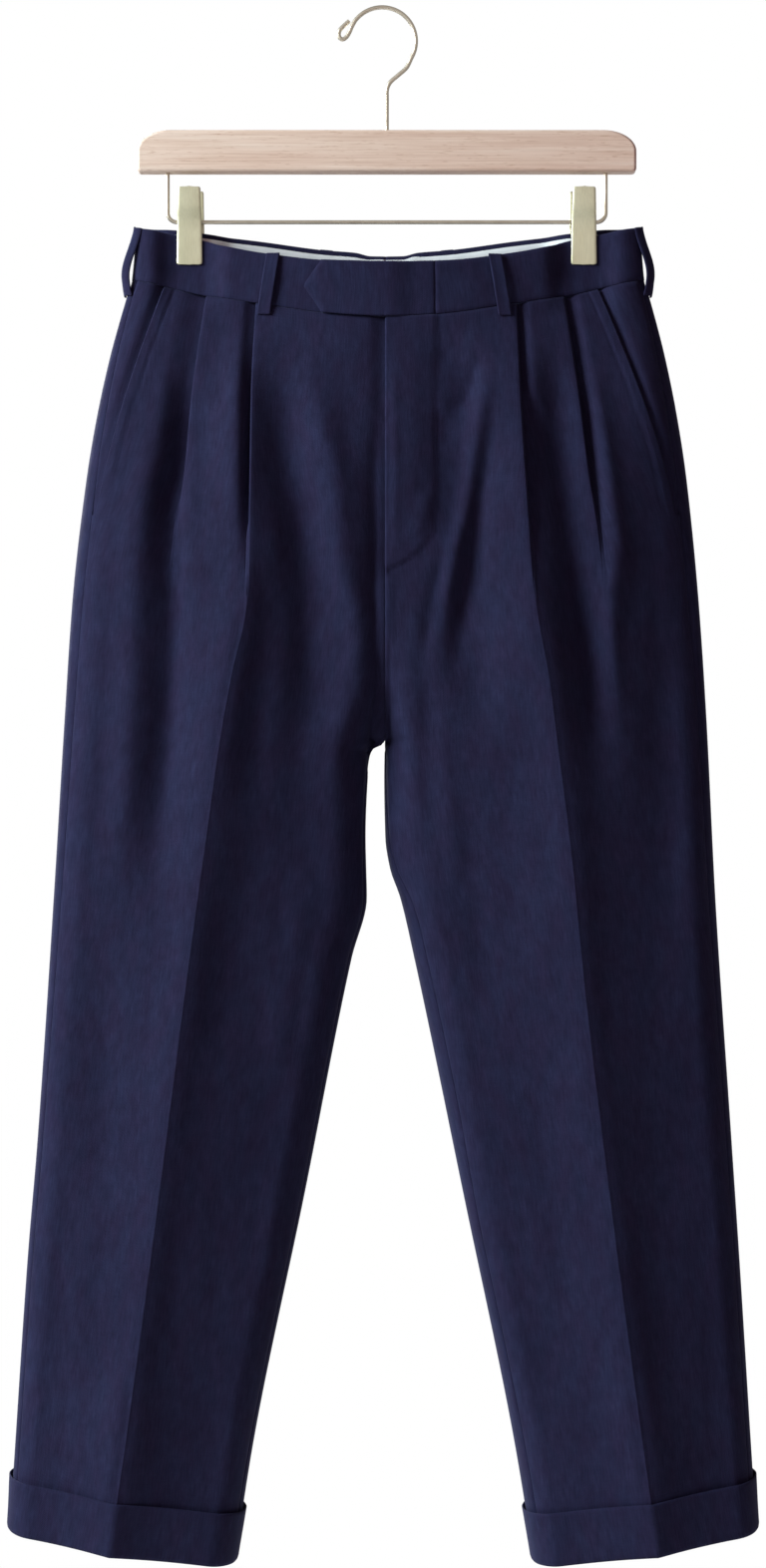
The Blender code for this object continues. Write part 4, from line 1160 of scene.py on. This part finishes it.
def turn_up(side):
    """The turn-up: from its open top edge down outside the leg, round under the hem and up inside."""
    turn = np.concatenate([
        np.linspace(-2.0, -1.02, 44), [-1.01, -1.0, -0.99], np.linspace(-0.98, 0.98, 70),
        [0.99, 1.0, 1.01], np.linspace(1.02, 2.0, 44, endpoint=False),
    ])
    path = [(CUFF_HEIGHT * (1.0 - s), 2.3 + 0.5 * (1.0 - s) ** 2) for s in np.linspace(0.0, 0.97, 16)]
    path += [(0.2, 2.1), (-0.9, 1.9), (-1.9, 1.2), (-2.3, 0.0), (-1.9, -1.2), (-0.9, -1.9)]
    path += [(1.0, -2.1), (6.0, -2.2), (14.0, -2.2)]
    rows = np.array([HEM_Z + up for up, _ in path])[:, None]
    lift = np.array([away for _, away in path])[:, None]
    turn = np.broadcast_to(turn, (len(path), len(turn)))
    z = rows + 0.0 * turn
    for _ in range(3):
        out, fore = ring_point(side, turn, z, 0.3)
        z = row_height(turn < 0.0, side, rows, out)
    hills = 0.35 * swell(51 + SIDES[side], turn, rows, 0.3, 60.0) * np.clip(rows - HEM_Z, 0.0, 30.0) / 30.0
    points = np.stack((out, fore, z), 2)
    tangent = unit(np.roll(points, -1, 1)[:, :, :2] - np.roll(points, 1, 1)[:, :, :2])
    away = np.stack((-tangent[:, :, 1], tangent[:, :, 0]), 2)
    points[:, :, :2] += away * (lift + hills * (lift > 2.0))[:, :, None]
    cuff = sewn("turn_up", side, points, ("cuff",), HEM_MIDDLE, CUFF_CLOTH, True)


for side in SIDES:
    panels(side)
    waistband(side)
    lining(side)
    belt_loops(side)
    turn_up(side)
tab()


# Hanger
HOOK_WIRE = 1.6
HOOK_CENTRE = (-3.5, -23.54)
HOOK_RADIUS = 25.4
BAR_HALF_LENGTH = 187.3
BAR_TOP = -91.4
BAR_BOTTOM = -122.9
BAR_HALF_DEPTH = 7.0
BAR_CORNER = 3.0
BAR_SHOULDER = (25.0, 16.0)
RAIL_OUT = 164.6
RAIL_Z = -159.7
RAIL_TOP = -111.5
RAIL_CORNER = 7.0
RAIL_WIRE = 1.5
SPRING_WIRE = 0.6
SPRING_RADIUS = 2.35
SPRING_LENGTH = 9.2
SPRING_TURNS = 6.0
LEAF_PLATE = 1.2
LEAF_TOP = -134.8
LEAF_BOTTOM = -191.9
LEAF_ARM = ((LEAF_TOP, 9.4, 7.9), (-150.0, 7.4, 8.3), (-158.5, 4.7, 8.6))


def arc(centre, radii, start, end, count):
    return [
        (centre[0] + radii[0] * math.cos(a), centre[1] + radii[1] * math.sin(a))
        for a in np.radians(np.linspace(start, end, count))
    ]


def smooth_path(knots, steps):
    knots = [np.array(knot, float) for knot in knots]
    padded = [2 * knots[0] - knots[1], *knots, 2 * knots[-1] - knots[-2]]
    points = []
    for a, b, c, d in zip(padded, padded[1:], padded[2:], padded[3:]):
        for t in np.linspace(0.0, 1.0, steps, endpoint=False):
            bend = 2 * b + (c - a) * t + (2 * a - 5 * b + 4 * c - d) * t**2
            points.append((bend + (3 * b - a - 3 * c + d) * t**3) / 2)
    return [*points, knots[-1]]


def wire(name, path, radius, material):
    """A round wire through (x, y, z) points in millimetres."""
    curve = bpy.data.curves.new(name, "CURVE")
    curve.dimensions = "3D"
    curve.bevel_depth = radius * MM
    curve.bevel_resolution = 6
    curve.use_fill_caps = True
    spline = curve.splines.new("POLY")
    spline.points.add(len(path) - 1)
    for point, (x, y, z) in zip(spline.points, path):
        point.co = (x * MM, y * MM, z * MM, 1.0)
    spline.use_smooth = True
    curve.materials.append(material)
    return linked(name, curve)


def hook_and_rail():
    start = arc(HOOK_CENTRE, (HOOK_RADIUS, HOOK_RADIUS), 143.0, -30.0, 70)
    eye = [
        (-28.2, -8.4), (-32.0, -11.8), (-35.4, -15.6), (-36.0, -19.6), (-33.6, -22.2),
        (-30.6, -20.8), (-28.2, -17.2), (-26.3, -12.8), start[0],
    ]
    neck = [start[-1], (14.8, -43.6), (8.4, -49.4), (2.6, -54.6), (0.2, -60.0), (0.0, -66.0)]
    path = [*smooth_path(eye, 8)[:-1], *start[:-1], *smooth_path(neck, 8), (0.0, -80.0), (0.0, -112.0)]
    finished(wire("hook_wire", [(x, 0.0, z) for x, z in path], HOOK_WIRE, WIRE), "hook_wire", "hanger_hook")
    corner = RAIL_OUT - RAIL_CORNER
    radii = (RAIL_CORNER, RAIL_CORNER)
    path = [
        (-RAIL_OUT, RAIL_TOP), *arc((-corner, RAIL_Z + RAIL_CORNER), radii, 180, 270, 16),
        *arc((corner, RAIL_Z + RAIL_CORNER), radii, 270, 360, 16), (RAIL_OUT, RAIL_TOP),
    ]
    finished(wire("rail_wire", [(x, 0.0, z) for x, z in path], RAIL_WIRE, WIRE), "hook_wire", "clip_rail")


def bar():
    corner = (BAR_HALF_LENGTH - BAR_CORNER, BAR_BOTTOM + BAR_CORNER)
    shoulder = (BAR_HALF_LENGTH - BAR_SHOULDER[0], BAR_TOP - BAR_SHOULDER[1])
    outline = [
        *arc((-corner[0], corner[1]), (BAR_CORNER, BAR_CORNER), 180, 270, 8),
        *arc(corner, (BAR_CORNER, BAR_CORNER), 270, 360, 8),
        *arc(shoulder, BAR_SHOULDER, 0, 90, 28),
        *arc((-shoulder[0], shoulder[1]), BAR_SHOULDER, 90, 180, 28),
    ]
    shape = bmesh.new()
    shape.faces.new([shape.verts.new((x * MM, BAR_HALF_DEPTH * MM, z * MM)) for x, z in outline])
    front = bmesh.ops.extrude_face_region(shape, geom=shape.faces[:])["geom"]
    verts = [vert for vert in front if isinstance(vert, bmesh.types.BMVert)]
    bmesh.ops.translate(shape, verts=verts, vec=(0.0, -2.0 * BAR_HALF_DEPTH * MM, 0.0))
    bmesh.ops.recalc_face_normals(shape, faces=shape.faces)
    mesh = bpy.data.meshes.new("bar_wood")
    shape.to_mesh(mesh)
    shape.free()
    mesh.shade_smooth()
    mesh.materials.append(BEECH)
    wood = linked("bar_wood", mesh)
    rounding = wood.modifiers.new("Edges", "BEVEL")
    rounding.width = 2.4 * MM
    rounding.segments = 5
    rounding.limit_method = "ANGLE"
    rounding.angle_limit = math.radians(60)
    rounding.harden_normals = True
    finished(wood, "beech", "hanger_bar")


def clip(side):
    middle = SIDES[side] * CLIP_OUT
    for face, jaw, turned in (("front", 3.75, 0.0), ("back", 3.95, -1.3)):
        knots = np.array([*LEAF_ARM, (-166.0, jaw, 8.8), (LEAF_BOTTOM, jaw, 9.2)])[::-1]
        z = np.concatenate([
            [LEAF_TOP, -134.95, -135.4, -136.2], np.linspace(-138.0, -189.5, 44),
            [-190.6, -191.4, -191.75, LEAF_BOTTOM],
        ])
        away = np.interp(z, knots[:, 0], knots[:, 1])
        away[3:-3] = np.convolve(away, np.ones(5) / 5.0, "same")[3:-3]
        half = np.interp(z, knots[:, 0], knots[:, 2])
        ends = np.minimum(LEAF_TOP - z, z - LEAF_BOTTOM)
        corner = np.clip(1.0 - ends / 1.4, 0.0, 1.0)
        half = half - 1.3 * (1.0 - np.sqrt(1.0 - corner**2))
        across = np.linspace(-1.0, 1.0, 13)[None, :]
        x = middle + across * half[:, None] + SIDES[side] * turned
        bowed = away[:, None] - 0.25 * across**2
        y = bowed if face == "back" else -bowed
        points = np.stack((x, y + 0.0 * x, z[:, None] + 0.0 * x), 2) * MM
        leaf = shell("leaf_%s_%s" % (face, side), points, LEAF_PLATE, CLIP, (middle * MM, 0.0, 0.0))
        finished(leaf, "clip_metal", "clip_%s_leaf_%s" % (face, side))
    coil = []
    for share in np.linspace(0.0, 1.0, 140):
        a = 2.0 * math.pi * SPRING_TURNS * share
        x = middle + SPRING_LENGTH * (share - 0.5)
        coil.append((x, SPRING_RADIUS * math.cos(a), RAIL_Z + SPRING_RADIUS * math.sin(a)))
    finished(wire("coil_" + side, coil, SPRING_WIRE, WIRE), "clip_metal", "clip_spring_" + side)


hook_and_rail()
bar()
for side in SIDES:
    clip(side)


# Stage and light
LIT_POINT = (0.0, 0.0, -0.6)
SKY_STRENGTH = 0.13
SKY_STRENGTH_SEEN = 0.87
SKY_STRENGTH_MIRRORED = 0.30
SKY_TINT = (1.0, 0.57, 0.62, 1.0)


def floor():
    mesh = bpy.data.meshes.new("floor")
    shape = bmesh.new()
    bmesh.ops.create_circle(shape, cap_ends=True, segments=96, radius=2.0)
    shape.to_mesh(mesh)
    shape.free()
    material, tree, shader = new_material("pale_floor", 0.9)
    set_sockets(shader, Base_Color=(0.88, 0.88, 0.87, 1.0))
    length = tree.nodes.new("ShaderNodeVectorMath")
    length.operation = "LENGTH"
    tree.links.new(object_place(tree), length.inputs[0])
    fade = add_node(tree, "ShaderNodeMapRange", From_Min=1.2, From_Max=1.98, To_Min=1.0, To_Max=0.0)
    fade.interpolation_type = "SMOOTHSTEP"
    tree.links.new(length.outputs["Value"], fade.inputs["Value"])
    tree.links.new(fade.outputs["Result"], shader.inputs["Alpha"])
    mesh.materials.append(material)
    obj = linked("floor", mesh)
    obj.location = (0.0, 0.0, -1.72)


def soft_light(name, place, size, energy, color):
    light = bpy.data.lights.new(name, "AREA")
    light.size = size
    light.energy = energy
    light.color = color
    obj = linked(name, light)
    obj.location = place
    aim = np.array(LIT_POINT) - np.array(place)
    yaw = math.atan2(aim[0], -aim[1])
    pitch = math.atan2(math.hypot(aim[0], aim[1]), -aim[2])
    obj.rotation_euler = (pitch, 0.0, yaw + math.pi)
    obj.visible_camera = False


def world():
    sky = bpy.data.worlds.new("studio")
    sky.use_nodes = True
    bpy.context.scene.world = sky
    tree = sky.node_tree
    rays = tree.nodes.new("ShaderNodeLightPath")
    seen, mirrored = rays.outputs["Is Camera Ray"], rays.outputs["Is Glossy Ray"]
    strength = math_node(tree, "ADD", SKY_STRENGTH, math_node(tree, "MULTIPLY", seen, SKY_STRENGTH_SEEN))
    added = math_node(tree, "MULTIPLY", mirrored, SKY_STRENGTH_MIRRORED)
    white = math_node(tree, "MAXIMUM", seen, mirrored)
    light = tree.nodes["Background"]
    tree.links.new(blend(tree, "MIX", white, SKY_TINT, (*WHITE, 1.0)), light.inputs["Color"])
    tree.links.new(math_node(tree, "ADD", strength, added), light.inputs["Strength"])


floor()
world()
soft_light("key", (-2.35, -0.98, 0.6), 1.2, 138.0, (0.85, 0.95, 1.0))
soft_light("fill", (0.6, -3.0, 0.2), 1.8, 5.0, (1.0, 0.66, 0.70))
soft_light("back", (-1.7, 2.3, 0.5), 1.3, 85.0, (0.92, 0.96, 1.0))
bpy.context.scene.view_settings.view_transform = "Standard"
